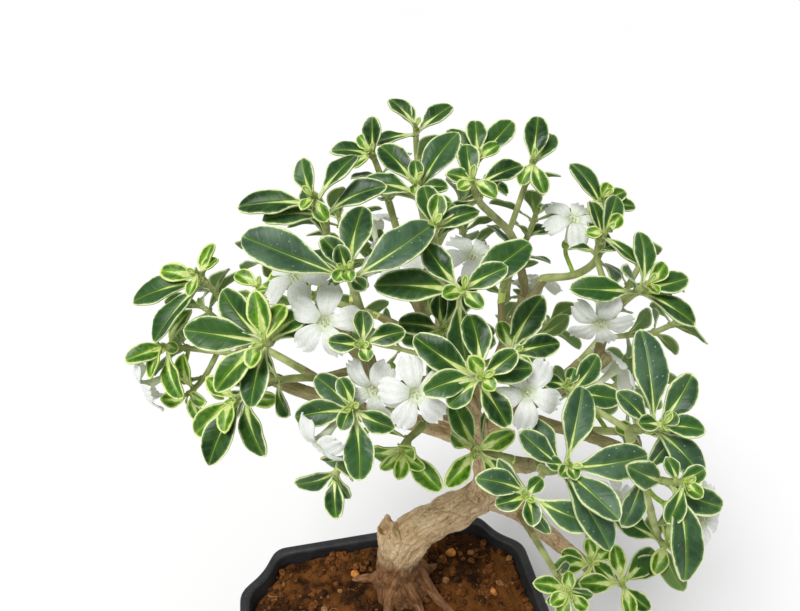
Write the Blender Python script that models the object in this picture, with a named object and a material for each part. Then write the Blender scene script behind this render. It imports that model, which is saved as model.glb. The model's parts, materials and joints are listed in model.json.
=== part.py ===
"""Serissa bonsai: a variegated serissa with white blooms, in a dark rectangular pot with canted corners.

+X is to the right along the pot's long side, +Y is to the back and +Z is up. The tables below are in
millimetres and degrees, from the middle of the pot's base; mm() turns a place into metres. The last step
moves everything along X and Y, so that the origin is under the middle of the tree's bounding box.

The trunk stands in a plain hole in the soil and holds bare limbs. Each leafy spray is a green twig that
starts face to face with the end of a limb's branchlet, and carries shoots with opposite leaves. Each bloom
sits on a green calyx that grows from a spray.
"""

import math
import random

import bmesh
import bpy
from mathutils import Matrix, Vector, noise
from mathutils.bvhtree import BVHTree

MM = 0.001
GAP = 0.3 * MM  # clearance between pieces that touch

# Pot
POT_HALF_LENGTH = 55.0
POT_HALF_DEPTH = 40.0
POT_HEIGHT = 44.0
CORNER_CUT_X = 14.0  # how far a canted corner reaches along the long side
CORNER_CUT_Y = 16.0  # and along the short side
CORNER_BEND = 2.0  # how far the middle of the cant is pulled in
CORNER_SOFT = 2.2
FLOOR_TOP = 9.0
WALL = 3.6
FOOT_X = 35.0  # centre of a foot, from the pot's centre
FOOT_Y = 21.5
FOOT_HALF_X = 9.5
FOOT_HALF_Y = 7.0
FOOT_TAPER = 1.5
FOOT_HEIGHT = 5.0
DRAIN_X = 22.0
DRAIN_RADIUS = 5.0

# Soil and drain screens
SOIL_EDGE_Z = 39.0  # soil surface beside the wall
SOIL_MOUND = 4.5  # extra height at the trunk
BARK_LUMPS = 5  # places tried
SCREEN_HALF = 7.5
SCREEN_THICK = 1.0
SCREEN_BAR = 1.6

# Trunk: path points with their radii, from the buried root stock to the top of the leader
TRUNK_FOOT = (4.5, 17.0)
TRUNK_PATH = [
    ((4.5, 17, 26), 8.4), ((4.5, 17, 42), 10.4), ((3.6, 17, 53), 8.2), ((4.4, 17, 62), 7.6),
    ((9, 17, 72), 7.2), ((17, 17, 78.5), 6.4), ((26, 16, 84.5), 5.8), ((32.5, 15, 93), 5.0),
    ((31.5, 13, 108), 4.4), ((28, 12, 123), 3.9), ((21, 12, 140), 3.2), ((16, 13, 158), 2.5),
    ((14, 15, 176), 1.8),
]
STUMP_PATH = [((4.4, 17, 58), 6.0), ((1.8, 17.4, 68), 5.4), ((-0.9, 18, 77), 3.2)]
STUMP_CUT_ROUGHNESS = 1.5
TRUNK_HOLE_GAP = 0.35  # between the buried wood and the soil

# Limbs: path points from inside the leader to the tip, and the radius at each end
LIMBS = {
    "left": ([(28, 12, 120), (14, 9, 132), (-6, 9, 143), (-26, 12, 153), (-40, 17, 160)], 3.0, 1.5),
    "front_left": ([(25, 12, 130), (16, 3, 143), (4, -2, 156), (-6, -3, 168)], 2.6, 1.4),
    "front_right": ([(30, 12, 114), (34, -1, 124), (33, -12, 136), (32, -19, 146)], 2.8, 1.5),
    "right": ([(29, 12, 126), (41, 7, 140), (50, 1, 153), (54, -4, 164)], 2.6, 1.4),
    "right_front": ([(37, 6.0, 135.5), (46, -6, 141), (52, -18, 147), (54, -27, 152)], 2.0, 1.3),
    "back": ([(21, 12, 139), (17, 26, 150), (12, 39, 158)], 2.4, 1.4),
    "back_left": ([(5, 8.5, 137.3), (-5, 22, 148), (-14, 34, 157)], 2.0, 1.3),
    "back_right": ([(24, 12, 134), (36, 22, 148), (44, 30, 162)], 2.4, 1.4),
    "low_right": ([(30, 15, 92), (44, 12.5, 83), (56, 8, 71), (65, -1, 66), (71, -12, 70)], 4.2, 2.0),
}
ROOTS = [  # heading of each surface root in degrees, its reach and its thickness
    (-118, 22, 2.1), (-74, 18, 1.9), (-35, 23, 2.2), (20, 19, 1.9), (100, 17, 1.8), (165, 21, 2.0),
]

# The crown is a dome: its heart, its three radii, and the turn of its long axis about Z
CROWN_HEART = (11, 13, 150)
CROWN_RADII = (74, 45, 62)
CROWN_TURN = -10.9

# Shoots seen in the photograph. Each row: tip, heading and rise of its axis, and its leaves.
# Leaves are either (turn, spread, length) each, oldest first, or ("pairs", turn, length, pairs).
# turn goes round the axis from its level right-hand side, spread is the angle between leaf and axis.
# A shoot with no leaves is a pruned twig.
SPRAYS = {
    "front_left": [
        ((-12, -9, 202), -100, 62, [(20, 80, 24.5), (145, 85, 22), (100, 85, 17), (-140, 95, 5),
                                    (50, 65, 9.5), (70, 55, 6.5), (-55, 75, 4.5), (-110, 75, 4)]),
        ((-10, -14, 186), -100, 48, [(165, 85, 10), (5, 90, 8), (90, 90, 8), (-110, 70, 4.5)]),
    ],
    "left_star": [
        ((-30, -9, 186), -125, 48, [(-10, 70, 19), (-100, 80, 15), (30, 85, 17), (120, 100, 11.5),
                                    (-65, 80, 15), (65, 70, 12), (-90, 70, 7), (90, 105, 10)]),
        ((-31, 19, 181), -145, 70, ("pairs", 90, 11, 2)),
    ],
    "mid": [
        ((12, -11, 195), -105, 58, [(0, 85, 19), (140, 90, 20), (50, 80, 13.5), (155, 70, 11.5),
                                    (-30, 65, 6), (-135, 80, 6.5)]),
        ((8, 0, 205), -100, 60, [(160, 80, 11), (80, 90, 12), (100, 70, 7.5), (125, 95, 8)]),
    ],
    "centre": [
        ((13, -25, 183), -100, 50, [(35, 90, 16.5), (-120, 85, 12.5), (-15, 80, 13), (85, 95, 14.5),
                                    (-40, 95, 9.5), (145, 85, 10), (55, 65, 6), (-125, 65, 4.5)]),
        ((25, -11, 176), -85, 50, [(135, 85, 17.5), (180, 75, 13), (85, 95, 8.5), (-110, 75, 6.5)]),
    ],
    "heart": [
        ((11, 0, 176), -100, 45, ("pairs", 100, 16, 2)),
    ],
    "low_centre": [
        ((17, -13, 147), -95, 30, ("pairs", 60, 16, 2)),
    ],
    "right_star": [
        ((30, -36, 165), -80, 58, [(-100, 85, 19.5), (55, 85, 12.5), (-170, 75, 19), (120, 75, 18),
                                   (35, 105, 4.5), (-85, 70, 4), (-25, 80, 4)]),
        ((21, -37, 158), -105, 58, [(10, 75, 13), (-160, 85, 16), (-20, 85, 8), (-100, 75, 7),
                                    (130, 95, 6)]),
    ],
    "right_tall": [
        ((50, -35, 172), -85, 60, [(100, 80, 22), (-160, 80, 10.5), (140, 75, 14.5), (15, 85, 6),
                                   (155, 70, 4.5)]),
        ((38, -14, 166), -80, 50, [(145, 80, 12), (-155, 80, 13), (30, 100, 6), (130, 80, 5.5)]),
    ],
    "right_hang": [
        ((52, -44, 164), -80, 50, [(-75, 90, 20.5), (170, 70, 7), (85, 90, 6), (-50, 100, 9.5),
                                   (-120, 70, 5)]),
    ],
    "right_top": [
        ((58, -6, 187), -60, 55, [(35, 105, 17), (-115, 80, 16), (125, 80, 15), (-160, 70, 12.5),
                                  (-95, 65, 4), (160, 60, 7.5)]),
        ((51, 5, 196), -50, 50, [(120, 85, 11.5), (-95, 75, 10.5), (150, 75, 12.5), (40, 120, 5),
                                 (165, 50, 6)]),
    ],
    "right_back": [
        ((61, -15, 147), -60, 50, [(125, 85, 10.5), (-145, 65, 8.5), (40, 110, 7)]),
    ],
    "top": [
        ((20, 13, 208), -110, 62, [(145, 90, 13.5), (10, 75, 7.5), (75, 75, 11), (-145, 90, 7.5),
                                   (-45, 80, 5)]),
        ((40, 27, 205), -95, 70, [(105, 70, 15), (125, 85, 13.5), (-55, 110, 7.5), (-100, 105, 10)]),
    ],
    "top_left": [
        ((9, 22, 204), -115, 62, [(0, 80, 14.5), (110, 85, 20), (40, 80, 15.5), (165, 95, 8),
                                  (75, 70, 6.5), (-90, 80, 4)]),
        ((14, 47, 208), -100, 80, [(140, 75, 14), (-15, 95, 13), (50, 70, 12), (65, 70, 9)]),
    ],
    "left_shoulder": [
        ((-16, 16, 206), -150, 55, [(-45, 65, 19), (80, 100, 16), (40, 60, 11), (-100, 75, 5),
                                    (-155, 115, 7)]),
    ],
    "far_left": [
        ((-47, 33, 178), -150, 50, [(-55, 70, 21), (-95, 80, 21), (-30, 60, 12), (60, 90, 11),
                                    (95, 105, 7), (-125, 80, 7.5)]),
        ((-59, 26, 161), -145, 35, [(-60, 55, 13.5), (-145, 90, 16), (80, 110, 12), (-120, 70, 10),
                                    (165, 115, 5)]),
        ((-54, 20, 148), -125, 15, ("pairs", -105, 11, 2)),
    ],
    "left_hang": [
        ((-40, 4, 159), -120, 25, [(-80, 60, 20), (-120, 80, 17), (-50, 75, 16), (-170, 125, 9.5),
                                   (20, 90, 10), (-105, 45, 10)]),
    ],
    "under": [
        ((-13, -16, 171), -100, 40, [(-5, 90, 14), (-95, 80, 16), (-155, 85, 10.5), (65, 100, 7.5),
                                     (-65, 65, 6.5)]),
        ((-18, -20, 154), -115, -5, [(-15, 65, 11.5), (-110, 40, 10.5), (-130, 65, 7)]),
        ((-17, -12, 167.5), 175, 10, []),
    ],
    "low_mid": [
        ((-1, -11, 148), -95, 5, [(-135, 60, 15), (-160, 40, 8.5), (-70, 40, 7.5), (-35, 75, 7.5)]),
    ],
    "back_shoulder": [
        ((55, 17, 198), -70, 60, [(80, 80, 15), (175, 70, 8), (-150, 75, 9), (140, 70, 5.5), (-25, 100, 6)]),
    ],
    "top_back": [
        ((28, 35, 203), -100, 65, [(130, 80, 17), (55, 80, 13), (90, 80, 12.5), (145, 80, 8)]),
    ],
    "crest_left": [
        ((1, 40, 205), -130, 60, [(75, 50, 11), (-25, 65, 12), (-65, 85, 7), (30, 70, 6.5)]),
    ],
    "low_right_near": [
        ((57, -16, 91), -110, 70, [(-15, 85, 13), (-70, 105, 13.5), (75, 70, 8), (145, 85, 8.5)]),
        ((64, -24, 90), -95, 65, [(160, 80, 15.5), (5, 90, 13.5), (145, 90, 16), (-95, 100, 10),
                                  (85, 75, 12)]),
    ],
    "low_right_front": [
        ((44, -28, 98), -125, 60, [(-10, 75, 10.5), (-90, 95, 8.5), (-160, 105, 7.5), (75, 80, 6.5),
                                   (-50, 75, 7)]),
    ],
    "low_right_high": [
        ((67, -31, 119), -90, 60, [(35, 85, 15.5), (-145, 95, 11), (110, 80, 10), (-50, 95, 9)]),
    ],
}

# Blooms seen in the photograph: throat, heading and rise of the way the bloom faces, turn of its first lobe
BLOOMS = {
    "left": ((-17, -7, 188), -110, 35, 95),
    "upper_left": ((-22, 7, 191), -135, 60, 10),
    "centre": ((0, -21, 177), -100, 35, 80),
    "centre_behind": ((-8, -14, 173), -125, 5, 40),
    "right": ((24, -23, 175), -95, 40, 60),
    "nodding": ((-21, -18, 163), -140, -20, 0),
    "inner": ((20, 9, 190), -65, 70, 20),
    "back_right": ((50, 20, 191), -100, 75, 50),
    "under_leaf": ((49, -5, 176.5), -110, -5, 30),
    "side": ((60, 0, 156), 20, 25, 0),
    "low_edge": ((60, -44, 150), -70, 30, 70),
    "deep": ((2, 17, 187), -125, 60, 35),
    "far_left": ((-65, 22, 151), -160, -10, 15),
    "low_right": ((62, -12, 116), -55, 50, 60),
}

# Shoots that the photograph doesn't show
FILL_COUNT = 64  # points tried over the dome
FILL_REACH = 34.0  # farthest apart that two fill shoots share a spray
OUTER_SPACING = 20.5
INNER_SPACING = 24.0
INNER_DEPTH = 0.72
GOLDEN_ANGLE = 137.508
SEEN_FROM = (-101, 36)  # heading and rise of the way to the photographer
FILL_LEAF = 16.0
BACK_BLOOMS = 3

# What a leaf does when something is in its way: turn aside, bend down or up, and size
LEAF_TRIES = [
    (0, 0, 1), (0, -8, 1), (0, 8, 1), (9, 0, 1), (-9, 0, 1), (0, -16, 1), (0, 16, 1), (16, -8, 0.95),
    (-16, -8, 0.95), (0, -26, 0.9), (24, 0, 0.9), (-24, 0, 0.9), (0, 26, 0.85), (12, 20, 0.8), (-12, 20, 0.8),
    (0, -10, 0.7), (0, 10, 0.6),
]

# Twigs and leaves
TWIG_SIDES = 4
TWIG_RADIUS = 1.25
SHOOT_RADIUS = 0.85
PRUNED_RADIUS = 1.3
SHORTEST_TWIG = 15.0
BRANCHLET_SHARE = 0.38  # share of the way from limb to foliage that is bare wood
LEAF_KEEL = 0.45  # depth of the keel under the midrib, near the middle of the leaf
ROOT_SET = 0.4  # how far past the twig's axis a leaf's root is sunk
LEAF_FOLD = 0.2  # rise of the margins over the midrib, as a share of half the width
LEAF_DROOP = 35.0  # how far a leaf bends over from root to tip, in degrees
LOW_LEAF = 17.0
NODE_SPACING = 1.5  # between the leaf pairs of a rosette
LARGE_LEAF = 12.0
LARGE_STATIONS = (0.32, 0.7)
SMALL_STATIONS = (0.5,)
LEAF_CLEARANCE = 0.35
TWIG_CLEARANCE = 0.4
STALK_RADIUS = 0.6
STALK_SIDES = 3
CALYX_SIDES = 4

# Bloom
LOBES = 5
LOBE_LENGTH = 7.6
LOBE_WIDTH = 5.0
LOBE_STATIONS = (0.46, 0.95)
LOBE_SET = 0.7  # how far past the throat's axis a lobe's root is sunk
TUBE_LENGTH = 8.0
THROAT_RADIUS = 1.7
TUBE_FOOT_RADIUS = 0.7
CALYX_LENGTH = 2.2
CALYX_RADIUS = 1.2


def mm(*place):
    """A place or a size in millimetres, as a vector or a number in metres."""
    if len(place) == 1 and not isinstance(place[0], (tuple, list, Vector)):
        return place[0] * MM
    return Vector(place[0] if len(place) == 1 else place) * MM


def direction(heading, rise):
    """The unit vector with this heading, anticlockwise from +X, and rise over the level, in degrees."""
    h, r = math.radians(heading), math.radians(rise)
    return Vector((math.cos(h) * math.cos(r), math.sin(h) * math.cos(r), math.sin(r)))


def across(axis):
    """Two unit vectors square to the axis and each other: its level right-hand side, and the one above."""
    side = axis.cross(Vector((0, 0, 1)))
    if side.length < 1e-3:
        side = Vector((1, 0, 0))
    side.normalize()
    return side, side.cross(axis).normalized()


# Closed shapes made ring by ring

def loft(rings, tip=None, root=None):
    """A closed bmesh: a ring extruded through the others. Each end is capped, or drawn to a point."""
    bm = bmesh.new()
    verts = [bm.verts.new(p) for p in rings[0]]
    edges = [bm.edges.new((a, b)) for a, b in zip(verts, verts[1:] + verts[:1])]
    first_verts, first_edges = verts, edges
    for ring in rings[1:]:
        ordered = extrude_ring(bm, edges, verts)
        for vert, place in zip(ordered[0], ring):
            vert.co = place
        verts, edges = ordered
    for end_verts, end_edges, point in ((verts, edges, tip), (first_verts, first_edges, root)):
        if point is None:
            bmesh.ops.contextual_create(bm, geom=end_edges)
        else:
            bmesh.ops.pointmerge(bm, verts=extrude_ring(bm, end_edges, end_verts)[0], merge_co=point)
    bmesh.ops.recalc_face_normals(bm, faces=bm.faces)
    return bm


def extrude_ring(bm, edges, verts):
    """Extrudes a closed ring of edges, and gives the new vertices in the old order and the new edges."""
    made = bmesh.ops.extrude_edge_only(bm, edges=edges)["geom"]
    new_verts = {v for v in made if isinstance(v, bmesh.types.BMVert)}
    ordered = [next(e.other_vert(v) for e in v.link_edges if e.other_vert(v) in new_verts) for v in verts]
    new_edges = [bm.edges.get((a, b)) for a, b in zip(ordered, ordered[1:] + ordered[:1])]
    return ordered, new_edges


def smooth_path(points, steps):
    """Points on a smooth curve through the given ones, with this many steps between neighbours."""
    ends = [2 * points[0] - points[1], *points, 2 * points[-1] - points[-2]]
    curve = []
    for before, start, end, after in zip(ends, ends[1:], ends[2:], ends[3:]):
        for i in range(steps):
            t = i / steps
            curve.append(0.5 * (2 * start + (end - before) * t
                                + (2 * before - 5 * start + 4 * end - after) * t * t
                                + (3 * start - before - 3 * end + after) * t ** 3))
    return [*curve, points[-1].copy()]


def bend_between(start, leave, end, arrive, steps):
    """Points on a curve that leaves start along one direction and arrives at end along another."""
    reach = (end - start).length
    points = []
    for i in range(steps + 1):
        t = i / steps
        points.append(start * (2 * t ** 3 - 3 * t * t + 1) + leave * reach * (t ** 3 - 2 * t * t + t)
                      + end * (3 * t * t - 2 * t ** 3) + arrive * reach * (t ** 3 - t * t))
    return points


def tube_rings(path, radii, sides, ridge=0.0, first=None, last=None):
    """Rings square to a path, or to first and last at its ends. ridge makes every second corner stand out."""
    rings = []
    side = across((path[1] - path[0]).normalized())[0]
    for i, (point, radius) in enumerate(zip(path, radii)):
        along = (path[min(i + 1, len(path) - 1)] - path[max(i - 1, 0)]).normalized()
        if i == 0 and first:
            along = first
        if i == len(path) - 1 and last:
            along = last
        side = (side - along * side.dot(along)).normalized()
        up = side.cross(along)
        rings.append([
            point + (side * math.cos(a) + up * math.sin(a)) * radius * (1 + ridge * (-1) ** k)
            for k, a in enumerate(2 * math.pi * j / sides for j in range(sides))
        ])
    return rings


# The plan of the foliage: where every twig, bloom and leaf goes

class Leaf:
    """One blade: its root on the twig, its chord, the way its upper face looks, and its size in metres."""

    def __init__(self, root, axis, turn, spread, length):
        side, top = across(axis)
        t, s = math.radians(turn), math.radians(spread)
        out = side * math.cos(t) + top * math.sin(t)
        self.root = root - out * mm(ROOT_SET)
        self.chord = (axis * math.cos(s) + out * math.sin(s)).normalized()
        self.up = (axis - self.chord * axis.dot(self.chord)).normalized()
        self.length = length * MM
        self.width = (2.0 + 0.3 * length) * MM

    def midrib(self, s):
        """The point on the midrib at a share of the length, and the way that the blade faces there."""
        droop = math.radians(LEAF_DROOP)
        rise = self.length * droop / 2 * s * (1 - s)
        face = (self.up - self.chord * droop / 2 * (1 - 2 * s)).normalized()
        return self.root + self.chord * self.length * s + self.up * rise, face

    def half_width(self, s):
        """Half the blade's width at a share of the length. It is widest past the middle."""
        swell = math.sin(math.pi * min(s, 1.0) ** 1.2)
        return self.width / 2 * swell ** (1.0 if s < 0.56 else 0.75)

    def rings(self, stations, keel=LEAF_KEEL * MM, widen=0.0):
        """Three-cornered sections of the blade, from margin to margin and down to the keel, and its tip."""
        rings = []
        for s in stations:
            middle, face = self.midrib(s)
            side = face.cross(self.chord).normalized()
            half = self.half_width(s) + widen
            margin = face * (half * LEAF_FOLD + widen)
            rings.append([middle + side * half + margin, middle - side * half + margin,
                          middle - face * keel * (1.6 - s)])
        return rings, self.midrib(1.0)[0]

    def solid(self):
        """The blade in few faces: large leaves have a section more than small ones."""
        rings, tip = self.rings(LARGE_STATIONS if self.length > LARGE_LEAF * MM else SMALL_STATIONS)
        return loft(rings, tip, self.root)


class Bloom:
    """One corolla: its throat, the way it faces, and the turn of its first lobe."""

    def __init__(self, throat, face, turn):
        self.throat, self.face, self.turn = throat, face, turn
        self.foot = throat - face * TUBE_LENGTH * MM

    def tube_rings(self):
        path = [self.foot, self.throat - self.face * 2.6 * MM, self.throat + self.face * 0.4 * MM]
        return tube_rings(path, [mm(TUBE_FOOT_RADIUS), mm(1.0), mm(THROAT_RADIUS)], 5)

    def lobe_rings(self, index, stations=LOBE_STATIONS, thick=0.65 * MM):
        """Sections of one lobe up to its blunt end, and its root inside the throat."""
        side, top = across(self.face)
        a = math.radians(self.turn + 360 / LOBES * index)
        out = side * math.cos(a) + top * math.sin(a)
        rings = []
        for s in stations:
            lift = 1.3 * math.sin(math.pi * min(s * 1.15, 1.0)) - 0.9 * s * s
            middle = self.throat + out * mm(0.7 + LOBE_LENGTH * s) + self.face * mm(lift - 0.2)
            half = mm(LOBE_WIDTH / 2) * (0.45 + 0.55 * math.sin(math.pi * min(0.8 * s, 1.0)))
            wide = self.face.cross(out)
            rings.append([middle + wide * half, middle - wide * half, middle - self.face * thick])
        return rings, self.throat - out * mm(LOBE_SET) - self.face * mm(0.3)

    def lobe(self, index):
        rings, root = self.lobe_rings(index)
        return loft(rings, root=root)


class Garden:
    """Solids already placed, for keeping later ones clear of them."""

    def __init__(self):
        self.kept = []

    def add(self, bm, owner):
        low = Vector(min(v.co[i] for v in bm.verts) for i in range(3))
        high = Vector(max(v.co[i] for v in bm.verts) for i in range(3))
        self.kept.append((BVHTree.FromBMesh(bm), low, high, owner))

    def meets(self, bm, ignore=()):
        """True if the shape crosses a kept one whose owner isn't to be ignored."""
        low = Vector(min(v.co[i] for v in bm.verts) for i in range(3))
        high = Vector(max(v.co[i] for v in bm.verts) for i in range(3))
        tree = BVHTree.FromBMesh(bm)
        for other, other_low, other_high, owner in self.kept:
            if owner in ignore:
                continue
            if any(low[i] > other_high[i] or high[i] < other_low[i] for i in range(3)):
                continue
            if tree.overlap(other):
                return True
        return False


def dome_point(around, up):
    """The point of the crown's dome at this turn and rise from its heart, and the way out there."""
    turn = Matrix.Rotation(math.radians(CROWN_TURN), 3, "Z")
    way = direction(around, up)
    point = Vector((way[i] * CROWN_RADII[i] for i in range(3)))
    out = Vector((way[i] / CROWN_RADII[i] for i in range(3)))
    return mm(CROWN_HEART) + turn @ point * MM, (turn @ out).normalized()


def fill_shoots(rng):
    """Rows for shoots that the photograph doesn't show, spread by the golden angle, clear of posed tips.

    The first round fills the back and the sides of the dome, and the second a layer inside it.
    """
    taken = [mm(row[0]) for rows in SPRAYS.values() for row in rows]
    taken += [mm(row[0]) for row in BLOOMS.values()]
    shoots = []
    for depth, spacing, seen_from_front in ((1.0, OUTER_SPACING, False), (INNER_DEPTH, INNER_SPACING, True)):
        for i in range(FILL_COUNT):
            height = 1 - 1.28 * (i + 0.5) / FILL_COUNT
            point, out = dome_point(i * GOLDEN_ANGLE, math.degrees(math.asin(height)))
            point = mm(CROWN_HEART) + (point - mm(CROWN_HEART)) * depth
            if (out.dot(direction(*SEEN_FROM)) > 0.1) != seen_from_front:
                continue
            if min((point - other).length for other in taken) < mm(spacing):
                continue
            lean = Vector(rng.uniform(-0.2, 0.2) for _ in range(3))
            taken.append(point)
            shoots.append((point, (out + Vector((0, 0, 0.45)) + lean).normalized(), rng.uniform(0, 180),
                           FILL_LEAF * rng.uniform(0.8, 1.2)))
    return shoots


def rosette(turn, length, pairs, rng):
    """Leaf rows of a shoot with crosswise pairs: the oldest pair is longest and most spread."""
    rows = []
    for pair in range(pairs):
        size = length * (1.0, 0.82, 0.45)[pair]
        spread = (84, 66, 40)[pair]
        for half in (0, 180):
            rows.append((turn + 90 * pair + half + rng.uniform(-9, 9), spread + rng.uniform(-9, 9),
                         size * rng.uniform(0.88, 1.08)))
    return rows


class Plan:
    """Everything that grows on the trunk, kept clear of each other by a rule."""

    def __init__(self):
        rng = random.Random(7)
        self.garden = Garden()
        self.limb_paths = {
            name: smooth_path([mm(p) for p in points], 2) for name, (points, _, _) in LIMBS.items()}
        self.shoots, self.branchlets, self.twigs = {}, {}, {}
        self.blooms, self.stalks, self.leaves = {}, {}, {}
        self.gather_shoots(rng)
        self.add_wood()
        for name, (throat, heading, rise, turn) in BLOOMS.items():
            self.place_corolla(name, mm(throat), direction(heading, rise), turn)
        for name in list(self.shoots):
            self.grow_twigs(name)
        self.place_back_blooms(rng)
        for name, bloom in self.blooms.items():
            self.grow_stalk(bloom)
        self.grow_leaves(rng)

    def gather_shoots(self, rng):
        """Shoots of each spray as (tip, axis, leaf rows). Fill shoots go two to a spray, nearest together."""
        for name, rows in SPRAYS.items():
            self.shoots[name] = [
                (mm(tip), direction(heading, rise), leaves) for tip, heading, rise, leaves in rows]
        loose = fill_shoots(rng)
        number = 0
        while loose:
            first = loose.pop(0)
            near = sorted(loose, key=lambda shoot: (shoot[0] - first[0]).length)[:1]
            group = [first, *(shoot for shoot in near if (shoot[0] - first[0]).length < mm(FILL_REACH))]
            loose = [shoot for shoot in loose if shoot not in group]
            number += 1
            self.shoots[f"fill_{number:02d}"] = [
                (tip, axis, ("pairs", turn, length, 2)) for tip, axis, turn, length in group]

    def add_wood(self):
        """The trunk and limbs, as things for twigs and leaves to stay clear of."""
        trunk = smooth_path([mm(p) for p, _ in TRUNK_PATH], 2)
        widths = smooth_path([Vector((r, 0, 0)) for _, r in TRUNK_PATH], 2)
        self.garden.add(loft(tube_rings(trunk, [mm(w.x + 0.3) for w in widths], 8)), "wood")
        for name, path in self.limb_paths.items():
            radii = [r + mm(0.3) for r in limb_radii(name, path)]
            self.garden.add(loft(tube_rings(path, radii, 6)), "wood")

    def place_corolla(self, name, throat, face, turn):
        """A bloom, turned about its face until it is clear."""
        for extra in range(0, 72, 12):
            bloom = Bloom(throat, face, turn + extra)
            shapes = [loft(bloom.tube_rings()), *(bloom.lobe(i) for i in range(LOBES))]
            if not any(self.garden.meets(shape) for shape in shapes):
                for shape in shapes:
                    self.garden.add(shape, ("bloom", name))
                self.blooms[name] = bloom
                return

    def place_back_blooms(self, rng):
        """A few blooms between the fill shoots."""
        fills = [shoots[0] for name, shoots in self.shoots.items() if name.startswith("fill")]
        for number, (tip, axis, _) in enumerate(fills[1:2 * BACK_BLOOMS:2]):
            side, top = across(axis)
            throat = tip + side * mm(9) - axis * mm(2) + top * mm(2)
            self.place_corolla(f"back_{number + 1}", throat, axis, rng.uniform(0, 72))

    def clear_path(self, ends, radii, sides, ignore):
        """A curve between the ends, bent aside where something is in its way. None where no bend is clear."""
        start, leave, end, arrive = ends
        side, top = across((end - start).normalized())
        for bulge in (0, 2, 4, 6, 9, 12):
            for way in range(0, 360, 60) if bulge else (0,):
                aside = (side * math.cos(math.radians(way)) + top * math.sin(math.radians(way))) * mm(bulge)
                path = bend_between(start, leave, end, arrive, len(radii) - 1)
                path = [p + aside * math.sin(math.pi * i / (len(path) - 1)) for i, p in enumerate(path)]
                wide = [r + mm(TWIG_CLEARANCE) for r in radii]
                guard = loft(tube_rings(path, wide, sides, 0, leave, arrive))
                if not self.garden.meets(guard, ignore):
                    return path
        return None

    def grow_twigs(self, name):
        """The branchlet in the wood, the spray's leading twig, and a side twig for each further shoot."""
        shoots = self.shoots[name]
        middle = sum((tip for tip, _, _ in shoots), Vector()) / len(shoots)
        wood = [point for path in self.limb_paths.values() for point in path[2:]]
        wood += smooth_path([mm(p) for p, _ in TRUNK_PATH[8:]], 3)
        wood = [point for point in wood if (point - middle).length > mm(SHORTEST_TWIG)]
        wood.sort(key=lambda point: (point - middle).length + 0.35 * abs(point.z - middle.z + mm(14)))
        for start in wood[:12]:
            leave = (middle - start).normalized()
            reach = max(BRANCHLET_SHARE * (middle - start).length, mm(5))
            foot = start + leave * reach
            bare = loft(tube_rings([start, foot], [mm(TWIG_RADIUS + 0.5)] * 2, 5))
            if self.garden.meets(bare, {"wood"}):
                continue
            tip, axis, _ = shoots[0]
            radii = [mm(TWIG_RADIUS + (SHOOT_RADIUS - TWIG_RADIUS) * i / 4) for i in range(5)]
            lead = self.clear_path((foot + leave * GAP, leave, tip, axis), radii, TWIG_SIDES, set())
            if lead:
                break
        else:
            del self.shoots[name]
            return
        self.branchlets[name] = (start, foot)
        self.garden.add(bare, ("branchlet", name))
        self.twigs[name] = []
        self.add_twig(name, 0, lead, radii, leave)
        grown = shoots[:1]
        for shoot in shoots[1:]:
            tip, axis, rows = shoot
            root = lead[min(len(grown), 2)]
            radii = [mm(SHOOT_RADIUS if rows else PRUNED_RADIUS)] * 4
            path = self.clear_path((root, (tip - root).normalized(), tip, axis), radii, TWIG_SIDES,
                                   {("twig", name, 0)})
            if path:
                self.add_twig(name, len(grown), path, radii, None)
                grown.append(shoot)
        self.shoots[name] = grown

    def add_twig(self, name, index, path, radii, first):
        self.twigs[name].append((path, radii, first))
        self.garden.add(loft(tube_rings(path, radii, TWIG_SIDES, 0, first)), ("twig", name, index))

    def grow_stalk(self, bloom):
        """The calyx under a bloom and its stalk, on the nearest twig from which the way is clear."""
        neck = bloom.foot - bloom.face * mm(CALYX_LENGTH)
        places = [(name, index, place) for name, twigs in self.twigs.items()
                  for index, (path, _, _) in enumerate(twigs) for place in path[1:-1]]
        places.sort(key=lambda row: (row[2] - neck).length)
        cup = [neck, neck + bloom.face * mm(CALYX_LENGTH * 0.5), bloom.foot - bloom.face * GAP]
        for name, index, root in places[:40]:
            own = {("twig", name, i) for i in range(len(self.twigs[name]))}
            ends = (root, (neck - root).normalized(), neck + bloom.face * mm(0.3), bloom.face)
            path = self.clear_path(ends, [mm(STALK_RADIUS)] * 4, 4, own)
            if path:
                self.stalks.setdefault(name, []).append((path, cup))
                for course, radius in ((path, STALK_RADIUS), (cup, CALYX_RADIUS)):
                    self.garden.add(loft(tube_rings(course, [mm(radius)] * len(course), 4)), ("stalk", name))
                return

    def grow_leaves(self, rng):
        """Every shoot's rosette first, in the order of the tables, then an older pair lower on each twig."""
        for name, shoots in self.shoots.items():
            self.leaves[name] = []
            for index, (_, axis, rows) in enumerate(shoots):
                if "pairs" in rows:
                    rows = rosette(*rows[1:], rng)
                path = self.twigs[name][index][0]
                own = {("twig", name, index), ("leaf", name, index)}
                for rank, row in enumerate(rows):
                    root = down_path(path, mm(NODE_SPACING * ((len(rows) - 1 - rank) // 2) + 0.3))
                    self.place_leaf(name, index, root, axis, row, own)
        for name, shoots in self.shoots.items():
            for index, (_, _, rows) in enumerate(shoots):
                if not rows:
                    continue
                longest = rows[2] if "pairs" in rows else max(row[2] for row in rows)
                path = self.twigs[name][index][0]
                turn = rng.uniform(0, 180)
                own = {("twig", name, i) for i in range(len(shoots))}
                for level in (2, 3) if len(shoots) == 1 or name.startswith("fill") else (2,):
                    along = (path[-level] - path[-level - 1]).normalized()
                    for half in (0, 180):
                        row = (turn + 90 * level + half, rng.uniform(60, 80),
                               min(longest * 0.9, LOW_LEAF) * rng.uniform(0.75, 1.0))
                        self.place_leaf(name, index, path[-level], along, row, own)

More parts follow.
